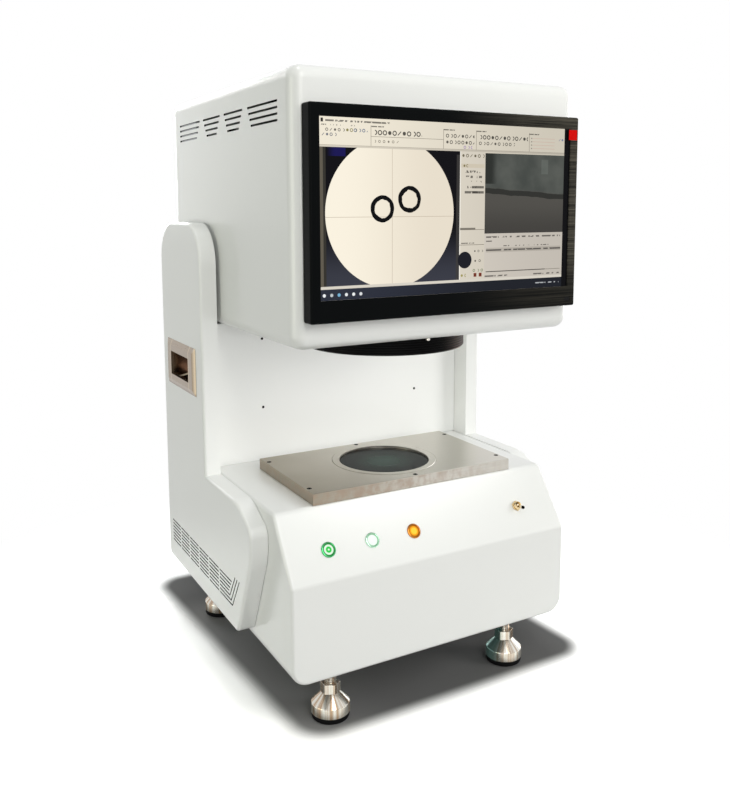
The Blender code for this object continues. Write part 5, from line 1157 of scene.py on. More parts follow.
def screen_picture():
    """A generic measuring program's windows, drawn with masks in metres on the screen."""
    finish = Finish(
        "screen_glass", base_color=(0.003, 0.003, 0.004), roughness=0.2, emission_strength=1.0,
        specular_ior_level=0.03,
    )
    x, y, z = finish.axes()

    def sheen(base):
        """Painted shade: the panel is drawn a little darker towards its right edge."""
        return finish.mix(base, tint(base, 0.70), x.fade(-0.24, 0.23))

    def shade(red, green, blue):
        return tuple(((v / 255 + 0.055) / 1.055) ** 2.4 for v in (red, green, blue))

    def area(left, right, bottom, top):
        return x.inside(left, right) * z.inside(bottom, top)

    cream = shade(240, 232, 214)
    ink = shade(58, 54, 50)
    line = shade(120, 112, 100)
    picture = sheen(cream)

    def put(base, mask):
        nonlocal picture
        picture = finish.mix(picture, base, mask)

    def marks(left, right, bottom, top, pitch, width, amount=0.5, base=ink):
        """Rows of small dashes, as the lines of a list look from afar."""
        rows = (z - bottom) / pitch % 1.0
        columns = finish.noise(width, (1, 0.01, 0.5), detail=2, centre=(left, 0, bottom))
        dashes = (columns > amount) * rows.inside(0.25, 0.72)
        put(base, dashes * area(left, right, bottom, top) * 0.8)

    def icons(left, right, middle, pitch, size, base=ink, shift=0.0):
        """A row of plain tool marks: circles, arcs, slashes and dots."""
        spot = (x - left) % pitch - pitch / 2
        kind = ((x - left - spot) / pitch * 0.381 + shift) % 1.0
        rise = z - middle
        reach = (spot * spot + rise * rise) ** 0.5
        ring = reach.inside(size * 0.27, size * 0.47)
        slash = (abs(spot - rise) < size * 0.13) * (reach < size * 0.5)
        drawn = (
            ring * (kind < 0.42) + slash * kind.inside(0.42, 0.62)
            + ring * (spot > 0) * kind.inside(0.62, 0.78) + (reach < size * 0.36) * (kind > 0.78)
        )
        put(base, drawn * area(left, right, middle - size, middle + size) * 0.9)

    canvas = finish.mix(shade(9, 8, 12), shade(56, 58, 68), 1 - z.fade(0.742, 0.83))
    put(canvas, area(-0.229, 0.0105, 0.740, 0.947))
    put(shade(24, 20, 86), area(-0.2285, -0.196, 0.9325, 0.947) * x.fade(-0.2285, -0.212) * 0.9)
    put(shade(96, 90, 78), area(-0.2395, -0.2335, 0.740, 0.947))
    put(shade(52, 50, 44), area(-0.2335, -0.2290, 0.740, 0.947))
    put(shade(60, 58, 56), area(0.0040, 0.0105, 0.740, 0.9400) * 0.8)
    dx, dz = x + 0.1158, z - 0.8483
    inside = ((dx * dx + dz * dz) ** 0.5 < 0.1145) * area(-0.2310, 0.0040, 0.740, 0.947)
    disc = finish.mix(shade(250, 242, 224), shade(232, 222, 204), x.fade(-0.22, -0.03))
    put(disc, inside)
    cross = (abs(x + 0.1154) < 0.0004) + (abs(z - 0.8430) < 0.0004)
    put(shade(176, 160, 140), inside * cross * 0.7)
    for ring_x, ring_z in ((-0.1327, 0.8551), (-0.0840, 0.8696)):
        rx, rz = x - ring_x, z - ring_z
        distance = (rx * rx + rz * rz * 1.02) ** 0.5
        outer = finish.noise(0.014, centre=(ring_x, 0, ring_z)) * 0.0026
        inner = finish.noise(0.008, detail=3, centre=(ring_z, 0, ring_x)) * 0.0052
        put(shade(5, 5, 5), (distance + outer < 0.0221) * (distance + inner > 0.0166))
    put(sheen(shade(214, 206, 190)), area(-0.2395, 0.2277, 0.9455, 0.9485))
    put(line, area(-0.2395, 0.2277, 0.9482, 0.9487) * 0.7)
    put(ink, area(-0.2365, -0.2325, 0.9812, 0.9868))
    marks(-0.229, -0.120, 0.9808, 0.9863, 0.0055, 0.004, 0.46)
    marks(-0.236, -0.180, 0.9756, 0.9792, 0.0036, 0.003, 0.56)
    icons(-0.230, -0.196, 0.9705, 0.0068, 0.0050)
    icons(-0.196, -0.176, 0.9708, 0.0068, 0.0058, shade(128, 122, 58), 0.8)
    icons(-0.183, -0.158, 0.9708, 0.0072, 0.0056, shade(58, 88, 128), 0.2)
    icons(-0.236, -0.209, 0.9635, 0.0066, 0.0052, shade(86, 92, 112), 0.3)
    marks(-0.152, -0.128, 0.9758, 0.9796, 0.0038, 0.003, 0.44)
    icons(-0.150, -0.062, 0.9690, 0.0086, 0.0082, shade(26, 24, 23), 0.45)
    icons(-0.150, -0.104, 0.9560, 0.0080, 0.0046, shade(120, 112, 100), 0.45)
    marks(-0.022, 0.002, 0.9762, 0.9800, 0.0038, 0.003, 0.44)
    icons(-0.018, 0.038, 0.9690, 0.0074, 0.0064, ink, 0.1)
    icons(-0.018, 0.038, 0.9592, 0.0074, 0.0062, ink, 0.7)
    icons(0.016, 0.034, 0.9520, 0.0070, 0.0052, shade(150, 120, 176), 0.2)
    marks(0.042, 0.062, 0.9762, 0.9800, 0.0038, 0.003, 0.44)
    icons(0.046, 0.148, 0.9690, 0.0082, 0.0074, shade(34, 32, 30), 0.45)
    icons(0.046, 0.120, 0.9592, 0.0076, 0.0058, ink, 0.15)
    marks(0.150, 0.172, 0.9755, 0.9793, 0.0038, 0.003, 0.44)
    for height in (0.9540, 0.9595, 0.9650, 0.9705):
        put(shade(196, 150, 136), area(0.158, 0.206, height, height + 0.0007) * 0.6)
        put(ink, area(0.1545, 0.1570, height - 0.0008, height + 0.0012) * 0.6)
    icons(0.214, 0.227, 0.9700, 0.0060, 0.0052, shade(96, 110, 150), 0.3)
    for left in (-0.153, -0.022, 0.0415, 0.1505):
        put(line, area(left, left + 0.0007, 0.9487, 0.9790))
    put(line, area(-0.153, -0.022, 0.9625, 0.9631))
    put(sheen(shade(234, 226, 210)), area(0.0105, 0.0605, 0.740, 0.9455))
    put(shade(250, 246, 236), area(0.0105, 0.0120, 0.740, 0.9455))
    icons(0.0130, 0.0600, 0.9390, 0.0078, 0.0060, shade(92, 84, 60), 0.6)
    put(shade(206, 196, 176), area(0.0130, 0.0590, 0.9200, 0.9262))
    icons(0.0160, 0.0260, 0.9230, 0.0060, 0.0052, shade(110, 100, 50), 0.8)
    marks(0.020, 0.058, 0.8770, 0.9180, 0.0082, 0.007, 0.53)
    marks(0.034, 0.058, 0.8770, 0.8930, 0.0082, 0.008, 0.36)
    put(line, area(0.0115, 0.060, 0.8205, 0.8213))
    put(shade(84, 78, 70), area(0.0115, 0.042, 0.8213, 0.8240) * 0.8)
    put(line, area(0.0105, 0.060, 0.7960, 0.7968))
    marks(0.014, 0.040, 0.7975, 0.8010, 0.0035, 0.004, 0.48)
    gx, gz = x - 0.0215, z - 0.7720
    put(shade(25, 26, 33), (gx * gx + gz * gz) ** 0.5 < 0.0136)
    icons(0.038, 0.060, 0.7860, 0.0072, 0.0040, ink, 0.7)
    icons(0.038, 0.060, 0.7700, 0.0090, 0.0046, ink, 0.8)
    icons(0.036, 0.060, 0.7545, 0.0080, 0.0050, shade(90, 110, 64), 0.1)
    icons(0.012, 0.024, 0.7470, 0.0080, 0.0058, shade(150, 140, 60), 0.8)
    for left in (0.0395, 0.0500):
        put(shade(128, 58, 40), area(left, left + 0.0058, 0.7440, 0.7502))
        put(shade(60, 40, 34), area(left + 0.002, left + 0.0038, 0.7460, 0.7482))
    haze = finish.noise(0.06, (1, 1, 1), detail=3)
    wall = finish.mix(shade(68, 72, 68), shade(88, 91, 86), haze.fade(0.35, 0.65))
    ground = finish.mix(shade(66, 64, 60), shade(80, 78, 73), z.fade(0.815, 0.870))
    dip = z + haze * 0.010 + (x - 0.06) * 0.06
    back = finish.mix(ground, wall, dip.fade(0.8905, 0.8960))
    put(back, area(0.0605, 0.2277, 0.8140, 0.9440))
    put(shade(34, 36, 32), area(0.0605, 0.2277, 0.8140, 0.9440) * dip.inside(0.8845, 0.8930) * 0.8)
    put(shade(44, 47, 43), area(0.0605, 0.0850, 0.8950, 0.9440) * (1 - x.fade(0.072, 0.086)))
    put(shade(112, 118, 112), area(0.1780, 0.1925, 0.9120, 0.9360) * haze * 0.7)
    put(sheen(shade(228, 220, 208)), area(0.0605, 0.2277, 0.7405, 0.8140))
    marks(0.064, 0.224, 0.8055, 0.8110, 0.0055, 0.006, 0.50)
    marks(0.064, 0.076, 0.7995, 0.8035, 0.0040, 0.004, 0.40)
    put(sheen(shade(206, 198, 186)), area(0.0640, 0.2240, 0.7830, 0.7905))
    marks(0.064, 0.224, 0.7840, 0.7895, 0.0055, 0.007, 0.42, shade(44, 42, 40))
    marks(0.100, 0.200, 0.7915, 0.7950, 0.0035, 0.004, 0.56)
    put(shade(84, 80, 74), area(0.064, 0.19, 0.7505, 0.7520))
    put(line, area(0.19, 0.2240, 0.7508, 0.7516))
    marks(0.062, 0.110, 0.7415, 0.7465, 0.0050, 0.005, 0.44)
    marks(0.165, 0.222, 0.7415, 0.7465, 0.0050, 0.005, 0.48)
    put(shade(216, 210, 198), area(-0.2395, 0.2277, 0.7362, 0.7405))
    bar = finish.mix(shade(44, 48, 60), shade(28, 31, 38), x.fade(-0.2, 0.1))
    put(bar, area(-0.2395, 0.2277, 0.7195, 0.7362))
    for number, base in enumerate(((236, 240, 242), (190, 196, 200), (120, 176, 210),
                                   (226, 230, 232), (232, 236, 236), (216, 220, 222))):
        px, pz = x + 0.2330 - number * 0.0124, z - 0.7272
        put(shade(*base), (px * px + pz * pz) ** 0.5 < 0.0026)
    marks(0.170, 0.222, 0.7262, 0.7302, 0.0040, 0.005, 0.48, shade(196, 200, 204))
    put(shade(3, 3, 4), x > 0.2277)
    finish.set(emission_color=picture)
    return finish.material


class MACHINE_OT_lens(bpy.types.Operator):
    """Makes the grooved lens ring, the coated glass and the locking screw"""

    bl_idname = "machine.lens"
    bl_label = "Lens"

    def execute(self, context):
        sizes = context.scene.machine_sizes
        low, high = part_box("lens_ring")
        axis = axis_of("lens_ring")
        radius = radius_of("lens_ring")
        lip = low.z + sizes.lens_lip
        profile = [(sizes.lens_seat, high.z), (radius, high.z)]
        pitch = sizes.groove_pitch
        for groove in reversed(range(5)):
            foot = lip + groove * pitch
            profile += [
                (radius, foot + pitch * 0.55),
                (radius - sizes.groove_depth, foot + pitch * 0.45),
                (radius - sizes.groove_depth, foot + pitch * 0.10),
                (radius, foot),
            ]
        profile += [
            (radius, low.z + 0.0022), (radius - 0.0022, low.z), (sizes.lens_mouth + 0.0015, low.z),
            (sizes.lens_mouth, low.z + 0.0015), (sizes.lens_mouth, lip), (sizes.lens_seat, lip),
        ]
        whole(
            "lens_front_ring", turned(profile, 144, axis), "machine", "black_anodised", "ribs",
            "lens_ring",
        )
        glass_low, glass_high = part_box("lens_glass")
        edge = radius_of("lens_glass")
        rim = glass_low.z + 0.006
        crown = glass_high.z - rim
        dome = [
            (edge * math.sin(a), rim + crown * math.cos(a))
            for a in (math.pi / 2 * k / 12 for k in range(13))
        ]
        whole(
            "lens_front_glass", turned(dome + [(edge, glass_low.z), (0, glass_low.z)], 96, axis),
            "machine", "lens_glass", "lens_glass", "lens_glass",
        )
        self.lock_screw()
        return {"FINISHED"}

    def lock_screw(self):
        """A rounded knob whose axis points out of the ring."""
        low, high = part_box("lens_lock_screw")
        middle = (low + high) / 2
        out = (middle - axis_of("lens_ring").translation).xy.to_3d()
        place = Matrix.Translation(middle) @ out.to_track_quat("Z", "X").to_matrix().to_4x4()
        half, radius = 0.0045, (high.z - low.z) / 2
        bm = turned(
            [(0, half), (radius * 0.55, half * 0.92), (radius * 0.86, half * 0.6),
             (radius, half * 0.1), (radius, -half * 0.5), (radius * 0.6, -half * 0.5),
             (radius * 0.6, -half), (0, -half)],
            48, place,
        )
        whole("lens_locking_screw", bm, "machine", "chrome", "chrome", "lens_lock_screw")


class MACHINE_OT_stage(bpy.types.Operator):
    """Makes the brushed stage plate, the ring on its glass and its screws"""

    bl_idname = "machine.stage_plate"
    bl_label = "Stage"

    def execute(self, context):
        sizes = context.scene.machine_sizes
        low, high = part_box("stage_plate")
        axis = axis_of("stage_plate")
        plate = solid("stage_top_plate", block(low, high, 0.0009, 3))
        bore = prism(96, sizes.stage_bore, low.z - OVERRUN, high.z + OVERRUN, place=axis)
        glass_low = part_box("stage_glass")[0].z - CLEAR
        chamfer = 0.0008
        seat = turned(
            [
                (0, high.z + OVERRUN), (sizes.stage_seat + chamfer + OVERRUN, high.z + OVERRUN),
                (sizes.stage_seat, high.z - chamfer), (sizes.stage_seat, glass_low),
                (0, glass_low),
            ],
            144, axis,
        )
        pockets = []
        for number in range(1, 7):
            node = f"stage_screw_{number}"
            pockets.append(prism(
                24, radius_of(node) + 0.0005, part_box(node)[0].z - CLEAR, high.z + OVERRUN,
                place=axis_of(node),
            ))
            self.screw(node)
        plate.data.materials.append(FINISHES.made["steel"])
        carve(plate, bore, seat)
        carve(plate, *pockets, inside=FINISHES.made["anodised"])
        complete(plate, "machine", "brushed_steel", node="stage_plate")
        ring_low, ring_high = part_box("stage_ring")
        outer = radius_of("stage_ring")
        inner = sizes.stage_seat - sizes.ring_width
        edge = 0.0006
        profile = [
            (inner, ring_low.z), (inner, ring_high.z - 2 * edge), (inner + 2 * edge, ring_high.z),
            (outer - edge, ring_high.z), (outer, ring_high.z - edge), (outer, ring_low.z),
        ]
        whole(
            "stage_glass_ring", turned(profile, 144, axis), "machine", "brushed_steel", "steel",
            "stage_ring",
        )
        return {"FINISHED"}

    def screw(self, node):
        """A black socket head."""
        low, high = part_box(node)
        axis = axis_of(node)
        radius = radius_of(node)
        edge = radius / 8
        bm = turned(
            [(0, high.z), (radius - edge, high.z), (radius, high.z - edge), (radius, low.z),
             (0, low.z)],
            32, axis,
        )
        screw = solid(f"{node}_head", bm)
        carve(screw, prism(6, radius * 0.55, high.z - radius * 0.5, high.z + OVERRUN, place=axis))
        complete(screw, "machine", "black_anodised", "anodised", node)


class MACHINE_OT_handles(bpy.types.Operator):
    """Makes the two recessed handles"""

    bl_idname = "machine.handles"
    bl_label = "Handles"

    def execute(self, context):
        sizes = context.scene.machine_sizes
        for word, side in SIDES.items():
            self.make(sizes, word, side)
        return {"FINISHED"}

    def make(self, sizes, word, side):
        node = f"{word}_handle"
        low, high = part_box(node)
        deep, outer = reach_of(node)
        base = reach_of(f"{word}_side_casing")[1] + CLEAR
        x_low, x_high = across(side, base, outer)
        bm = block((x_low, low.y, low.z), (x_high, high.y, high.z))
        front = max(bm.faces, key=lambda face: face.calc_center_median().x * side)
        size = high - low
        taper = Matrix.Diagonal(
            (1, 1 - 2 * sizes.handle_bevel / size.y, 1 - 2 * sizes.handle_bevel / size.z, 1)
        )
        middle = (low + high) / 2
        centre = Matrix.Translation(middle)
        bmesh.ops.transform(bm, matrix=centre @ taper @ centre.inverted(), verts=front.verts[:])
        round_edges(bm, bm.edges[:], 0.0009, 3)
        handle = solid(f"{word}_handle_frame", bm)
        half, rise = (size / 2 for size in sizes.handle_mouth)
        wall = sizes.handle_wall
        cup_low, cup_high = across(side, deep, (base + outer) / 2)
        cup = block(
            (cup_low, middle.y - half - wall, middle.z - rise - wall),
            (cup_high, middle.y + half + wall, middle.z + rise + wall),
            0.0008, 2,
        )
        carve(handle, cup, operation="UNION")
        face, floor = side * (outer + OVERRUN), side * (deep + wall)
        mouth = slab(
            [
                (middle.z - rise, face, 0), (middle.z - rise, floor, sizes.handle_scoop),
                (middle.z + rise, floor, 0.005), (middle.z + rise, face, 0),
            ],
            "ZX", middle.y - half, middle.y + half, 14,
        )
        carve(handle, mouth)
        complete(handle, "machine", "satin_nickel", "handle", node, sharp=28)


class MACHINE_OT_feet(bpy.types.Operator):
    """Makes the levelling feet: rubber pads, coned feet and threaded studs"""

    bl_idname = "machine.feet"
    bl_label = "Levelling Feet"

    def execute(self, context):
        sizes = context.scene.machine_sizes
        for place in PLACES:
            self.pad(place)
            self.base(place)
            self.stud(sizes, place)
        return {"FINISHED"}

    def pad(self, place):
        node = f"foot_pad_{place}"
        top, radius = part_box(node)[1].z, radius_of(node)
        edge = 0.0006
        profile = [
            (0, top), (radius - edge, top), (radius, top - edge),
            (radius, 0.0026), (radius - edge, 0.0012), (radius - 0.0022, 0), (0, 0),
        ]
        whole(
            f"rubber_pad_{place}", turned(profile, 72, axis_of(node)), f"foot_{place}",
            "black_rubber", "rubber", node,
        )

    def base(self, place):
        node = f"foot_base_{place}"
        low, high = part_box(node)
        radius = radius_of(node)
        bore, neck = 0.0104, 0.0165
        band = low.z + 0.0175
        floor = high.z - 0.014
        profile = [
            (0, floor), (bore, floor),
            (bore, high.z), (neck - 0.0008, high.z), (neck, high.z - 0.0008),
            (radius - 0.0012, band + 0.0008), (radius, band - 0.0012),
            (radius, low.z + 0.0009), (radius - 0.0009, low.z), (0, low.z),
        ]
        whole(
            f"coned_foot_{place}", turned(profile, 96, axis_of(node)), f"foot_{place}",
            "satin_nickel", "nickel", node,
        )

    def stud(self, sizes, place):
        """A threaded rod with a hexagon near its foot."""
        node = f"foot_stud_{place}"
        low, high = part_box(node)
        hex_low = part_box(f"foot_base_{place}")[1].z + CLEAR
        hex_high = hex_low + 0.017
        flats = radius_of(node)
        rod = 0.010
        core = rod - sizes.thread_depth
        profile = [(0, high.z), (core, high.z)]
        turns = int((high.z - hex_high) / sizes.thread_pitch)
        for turn in range(turns):
            z = high.z - turn * sizes.thread_pitch
            profile += [
                (rod, z - sizes.thread_pitch * 0.40), (rod, z - sizes.thread_pitch * 0.55),
                (core, z - sizes.thread_pitch * 0.95),
            ]
        profile += [(core, hex_high - 0.002), (core, hex_low + 0.001), (rod - 0.0004, hex_low),
                    (rod - 0.0004, low.z), (0, low.z)]
        axis = axis_of(node)
        stud = solid(f"threaded_stud_{place}", turned(profile, 40, axis))
        nut = prism(6, flats / math.cos(math.pi / 6), hex_low, hex_high, 0.0007, axis)
        carve(stud, nut, operation="UNION")
        complete(stud, f"stud_{place}", "chrome", "stud", node, sharp=40)


class MACHINE_OT_buttons(bpy.types.Operator):
    """Makes the three lit push buttons"""

    bl_idname = "machine.push_buttons"
    bl_label = "Push Buttons"

    def execute(self, context):
        sizes = context.scene.machine_sizes
        colours = context.scene.machine_colours
        white, dark = (0.90, 1.0, 0.91), (0.006, 0.11, 0.03)
        # Painted reflection: the third value of each look tints the chrome bezel with its cap's
        # light.
        looks = {
            "power_button": (
                "green_lens", ((0.0, white), (0.0020, colours.power), (0.0052, white),
                               (0.0084, tint(colours.power, 0.4))), (0.08, 0.42, 0.16),
            ),
            "start_button": (
                "clear_lens", ((0.0, (1, 1, 1)), (0.0084, colours.start), (0.0094, dark)),
                (0.42, 0.71, 0.50),
            ),
            "lamp_button": (
                "amber_lens", ((0.0, colours.lamp_middle), (0.0060, colours.lamp),
                               (0.0082, tint(colours.lamp, 0.40))), (0.50, 0.19, 0.04),
            ),
        }
        for name, (slot, bands, glow) in looks.items():
            place = slope_place(sizes, node_x(f"{name}_cap"), sizes.buttons_down)
            self.body(name, place, glow)
            self.cap(name, place, slot, lit(f"{name}_light", place.translation, bands))
        return {"FINISHED"}

    def body(self, name, place, glow):
        head, barrel, bore = 0.0128, 0.0108, 0.0099
        profile = [
            (bore, 0.0012), (bore + 0.0004, 0.0019), (bore + 0.0009, 0.0021),
            (head - 0.0010, 0.0019), (head - 0.0003, 0.0014), (head, 0.0008), (head, 0.0003),
            (barrel, 0.0003), (barrel, -0.030), (0, -0.030), (0, -0.0125), (bore, -0.0125),
        ]
        # Painted reflection: the chrome bezel takes the tint of its cap's light.
        metal = turned_metal(f"{name}_metal", glow, tint(glow, 1.6), 0.10)
        whole(
            f"{name}_bezel", turned(profile, 72, place), "machine", "chrome", metal, f"{name}_body"
        )

    def cap(self, name, place, slot, light):
        """A lit cap with a fine groove near its rim."""
        edge, inner = 0.0096, 0.0080
        profile = [
            (0, 0.0013), (inner - 0.0003, 0.0011), (inner, 0.0008), (inner + 0.0003, 0.0011),
            (edge - 0.0006, 0.0011), (edge, 0.0006), (edge, -0.0098), (0, -0.0098),
        ]
        whole(f"{name}_lit_cap", turned(profile, 64, place), name, slot, light, f"{name}_cap")


class MACHINE_OT_switch(bpy.types.Operator):
    """Makes the toggle switch"""

    bl_idname = "machine.toggle_switch"
    bl_label = "Toggle Switch"

    def execute(self, context):
        sizes = context.scene.machine_sizes
        place = slope_place(sizes, node_x("switch_body"), sizes.switch_down)
        bush, mouth, bore = 0.0064, 0.0055, 0.0036
        height = 0.0085
        profile = [(mouth, height), (bush - 0.0005, height), (bush, height - 0.0005)]
        for turn in range(5):
            z = height - 0.0009 - turn * 0.0009
            profile += [(bush, z), (bush - 0.0005, z - 0.00045)]
        profile += [
            (bush, 0.0030), (bush, -0.0031), (bore, -0.0031), (bore, 0.0050),
        ]
        body = solid("switch_bushing", turned(profile, 48, place))
        nut = prism(6, 0.0096, 0.0003, 0.0029, 0.0004, place)
        low = Vector((-0.0065, -0.013, -0.0208))
        high = Vector((0.0065, 0.013, -0.0028))
        housing = block(low, high, 0.0006, 2)
        bmesh.ops.transform(housing, matrix=place, verts=housing.verts)
        carve(body, nut, housing, operation="UNION")
        carve(
            body,
            turned([(0, height + OVERRUN), (mouth, height + OVERRUN), (mouth, height),
                    (bore, 0.0050), (bore, -0.0070), (0, -0.0070)], 48, place),
        )
        complete(body, "machine", "chrome", "brass", "switch_body")
        self.lever(place, context.scene.machine_colours)
        return {"FINISHED"}

    def lever(self, place, colours):
        """A bat-shaped lever leaning down the panel, from its pivot ball to its round tip."""
        tilt = place @ Matrix.Translation((0, 0, 0.0050)) @ Matrix.Rotation(math.radians(32), 4, "X")
        ball, neck, tip, reach = 0.0030, 0.0014, 0.0030, 0.0190
        profile = [
            (tip * math.sin(a), reach - tip + tip * math.cos(a))
            for a in (math.pi / 2 * k / 8 for k in range(9))
        ]
        start = math.asin(neck / ball)
        profile += [
            (ball * math.sin(a), ball * math.cos(a))
            for a in (start + (math.pi - start) * k / 12 for k in range(13))
        ]
        profile[0] = (0, reach)
        profile[-1] = (0, -ball)
        whole(
            "switch_bat_lever", turned(profile, 40, tilt), "toggle_lever", "chrome",
            lever_metal(colours, tilt.translation), "switch_lever",
        )


class MACHINE_OT_panel_screws(bpy.types.Operator):
    """Makes the small screws of the throat panel and the back covers"""

    bl_idname = "machine.panel_screws"
    bl_label = "Panel Screws"

    def execute(self, context):
        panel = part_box("throat_panel")[0].y
        aside, *heights = context.scene.machine_sizes.throat_screws
        for row, height in enumerate(heights):
            for word, side in SIDES.items():
                spot = (side * aside, panel, height)
                self.screw(f"throat_screw_{row}_{word}", spot, -1, 0.0026)
        for name, node, inset, middle in (
            ("rear_screw", "rear_cover", 0.018, [0.0]),
            ("head_screw", "head_rear_cover", 0.014, []),
        ):
            low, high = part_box(node)
            for column, x in enumerate([low.x + inset, *middle, high.x - inset]):
                for row, z in enumerate((low.z + inset, high.z - inset)):
                    self.screw(f"{name}_{column}_{row}", (x, high.y, z), 1, 0.0036)
        return {"FINISHED"}

    def screw(self, name, spot, way, radius):
        """A low round head on a face that looks along Y."""
        turn = Matrix.Rotation(-way * math.pi / 2, 4, "X")
        place = Matrix.Translation(spot) @ turn
        rise = radius * 0.5
        bm = turned(
            [(0, rise), (radius * 0.5, rise * 0.9), (radius * 0.85, rise * 0.55),
             (radius, 0.00005), (0, 0.00005)],
            32, place,
        )
        screw = solid(name, bm)
        carve(screw, prism(6, radius * 0.42, rise * 0.35, rise + OVERRUN, place=place))
        complete(screw, "machine", "black_anodised", "anodised")


class MACHINE_OT_studio(bpy.types.Operator):
    """Sets up the floor, the lamps, the white background and the camera"""

    bl_idname = "machine.studio"
    bl_label = "Studio"

    def execute(self, context):
        self.floor()
        self.world(context.scene)
        warm, plain, green = (1.0, 0.985, 0.95), (1.0, 1.0, 1.0), (0.98, 1.0, 0.82)
        for name, azimuth, elevation, distance, size, strength, light in (
            ("overhead_lamp", 0, 90, 6.5, 0.8, 0.15, plain),
            ("key_lamp", 44, 14, 3.6, 1.5, 0.38, warm),
            ("front_lamp", -14, 14, 3.6, 1.5, 0.14, warm),
            ("panel_lamp", -4, 40, 3.6, 1.5, 0.21, warm),
            ("left_lamp", -82, 8, 3.4, 1.6, 0.18, green),
            ("right_lamp", 102, 10, 3.4, 1.6, 0.24, plain),
            ("rear_lamp", 180, 18, 3.6, 1.6, 0.45, plain),
        ):
            way = (math.radians(azimuth), math.radians(elevation))
            self.lamp(name, way, STUDIO_AIM, distance, size, strength, light)
        inner = self.lamp(
            "throat_lamp", (math.radians(12), math.radians(20)), Vector((-0.06, 0.08, 0.44)), 0.36,
            0.36, 0.40, plain,
        )
        inner.data.shape = "RECTANGLE"
        inner.data.size_y = 0.08
        self.camera(context.scene)
        context.scene.view_settings.view_transform = "Standard"
        return {"FINISHED"}

    def lamp(self, name, way, aim, distance, size, strength, tone):
        """A square lamp at an azimuth from the front and an elevation, whose strength is the
        light it sends back from a white card at its aim."""
        light = bpy.data.lights.new(name, "AREA")
        light.size = size
        light.color = tone
        light.energy = strength * (math.pi * distance) ** 2
        azimuth, elevation = way
        level = distance * math.cos(elevation)
        rise = distance * math.sin(elevation)
        spot = aim + Vector((level * math.sin(azimuth), -level * math.cos(azimuth), rise))
        made = bpy.data.objects.new(name, light)
        made.location = spot
        made.rotation_euler = (aim - spot).to_track_quat("-Z", "Y").to_euler()
        made.visible_camera = False
        made.visible_glossy = distance > 1 and name != "key_lamp"
        bpy.context.scene.collection.objects.link(made)
        return made

    def floor(self):
        """A pale floor that keeps the machine's shadow, with a painted shadow in a rounded patch
        round the machine, and turns plain white further out.
        """
        bm = bmesh.new()
        bmesh.ops.create_grid(bm, x_segments=1, y_segments=1, size=12)
        made = solid("studio_floor", bm)
        finish = Finish("studio_floor", roughness=1.0, specular_ior_level=0.0)
        x, y, z = finish.axes()
        away = ((x * x + y * y) ** 0.5).fade(0.55, 1.05)
        path = finish.node("ShaderNodeLightPath")
        outputs = path.socket.node.outputs
        camera, *others = (Signal(finish, outputs[name]) for name in SEEN_RAYS)
        seen = sum(others, camera)
        # Painted shadow: seen rays find the floor dark in a rounded patch round the machine's
        # footprint, lighter towards the left and darker towards the back.
        beside = (abs(x + y * 0.07 - 0.030) - 0.245).larger(0.0)
        beyond = (abs(y - 0.0875) - 0.3025).larger(0.0)
        under = 0.15 + (x + 0.05).fade(0.0, -0.25) * 0.13 - y.fade(0.20, 0.34) * 0.12
        ground = finish.node("ShaderNodeCombineColor", inputs={0: under, 1: under, 2: under})
        rounded = (beside * beside + beyond * beyond) ** 0.5
        tone = finish.mix(ground, (1.7, 1.7, 1.7), rounded.fade(0.036, 0.080))
        finish.set(base_color=finish.mix((0.30, 0.30, 0.30), tone, seen > 0.5))
        white = finish.node("ShaderNodeEmission", inputs={"Color": (1, 1, 1), "Strength": 1.0})
        mixed = finish.node(
            "ShaderNodeMixShader",
            inputs={0: (seen > 0.5) * away, 1: Signal(finish, finish.shader.outputs[0]), 2: white},
        )
        output = finish.tree.nodes["Material Output"]
        finish.tree.links.new(mixed.socket, output.inputs["Surface"])
        made.data.materials.append(finish.material)

    def world(self, scene):
        """Soft grey light for the object, and plain white for what is seen."""
        world = bpy.data.worlds.new("studio_world")
        world.use_nodes = True
        scene.world = world
        tree = world.node_tree
        background = tree.nodes["Background"]
        background.inputs["Color"].default_value = (0.95, 0.99, 0.98, 1)
        background.inputs["Strength"].default_value = 0.34
        white = tree.nodes.new("ShaderNodeBackground")
        white.inputs["Color"].default_value = (1, 1, 1, 1)
        path = tree.nodes.new("ShaderNodeLightPath")
        seen, *others = (path.outputs[name] for name in SEEN_RAYS)
        for output in others:
            larger = tree.nodes.new("ShaderNodeMath")
            larger.operation = "MAXIMUM"
            tree.links.new(seen, larger.inputs[0])
            tree.links.new(output, larger.inputs[1])
            seen = larger.outputs[0]
        mixer = tree.nodes.new("ShaderNodeMixShader")
        tree.links.new(seen, mixer.inputs[0])
        tree.links.new(background.outputs[0], mixer.inputs[1])
        tree.links.new(white.outputs[0], mixer.inputs[2])
        tree.links.new(mixer.outputs[0], tree.nodes["World Output"].inputs["Surface"])

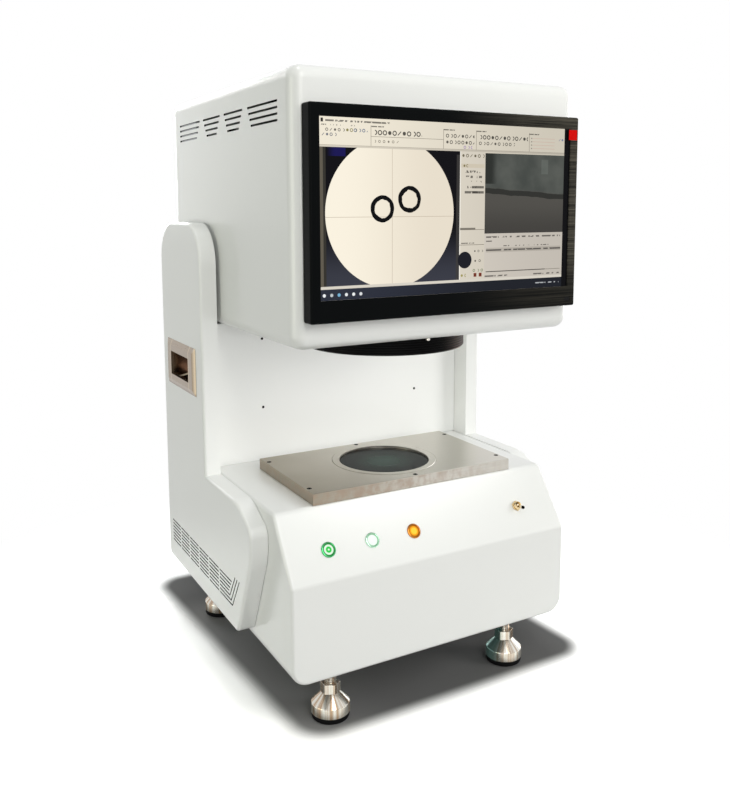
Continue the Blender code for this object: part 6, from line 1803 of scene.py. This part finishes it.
    def camera(self, scene):
        """The photograph's viewpoint."""
        data = bpy.data.cameras.new("photo_camera")
        data.sensor_width = 36
        data.lens = CAMERA_LENS
        data.shift_y = CAMERA_SHIFT
        made = bpy.data.objects.new("photo_camera", data)
        made.location = CAMERA_SPOT
        yaw, pitch, roll = (math.radians(turn) for turn in CAMERA_TURN)
        look = Matrix.Rotation(-yaw, 4, "Z") @ Matrix.Rotation(math.pi / 2 - pitch, 4, "X")
        made.rotation_euler = (look @ Matrix.Rotation(roll, 4, "Z")).to_euler()
        scene.collection.objects.link(made)
        scene.camera = made


OPERATORS = (
    MACHINE_OT_finishes, MACHINE_OT_head_housing, MACHINE_OT_side_casings,
    MACHINE_OT_base_housing, MACHINE_OT_monitor, MACHINE_OT_lens, MACHINE_OT_stage,
    MACHINE_OT_handles, MACHINE_OT_feet, MACHINE_OT_buttons, MACHINE_OT_switch,
    MACHINE_OT_panel_screws, MACHINE_OT_studio,
)


class MACHINE_PT_builder(bpy.types.Panel):
    """Lists the machine's pieces in the sidebar"""

    bl_label = "Measuring Machine"
    bl_idname = "MACHINE_PT_builder"
    bl_space_type = "VIEW_3D"
    bl_region_type = "UI"
    bl_category = "Machine"

    def draw(self, context):
        for operator in OPERATORS:
            self.layout.operator(operator.bl_idname)
        for name in ("machine_sizes", "machine_colours"):
            group = getattr(context.scene, name)
            for key in group.bl_rna.properties.keys():
                if key not in ("rna_type", "name"):
                    self.layout.prop(group, key)


CLASSES = (MachineSizes, MachineColours, *OPERATORS, MACHINE_PT_builder)


def register():
    for cls in CLASSES:
        bpy.utils.register_class(cls)
    bpy.types.Scene.machine_sizes = PointerProperty(type=MachineSizes)
    bpy.types.Scene.machine_colours = PointerProperty(type=MachineColours)


def unregister():
    del bpy.types.Scene.machine_colours
    del bpy.types.Scene.machine_sizes
    for cls in reversed(CLASSES):
        bpy.utils.unregister_class(cls)


def main():
    register()
    for operator in OPERATORS:
        group, name = operator.bl_idname.split(".")
        getattr(getattr(bpy.ops, group), name)()


if __name__ == "__main__":
    main()
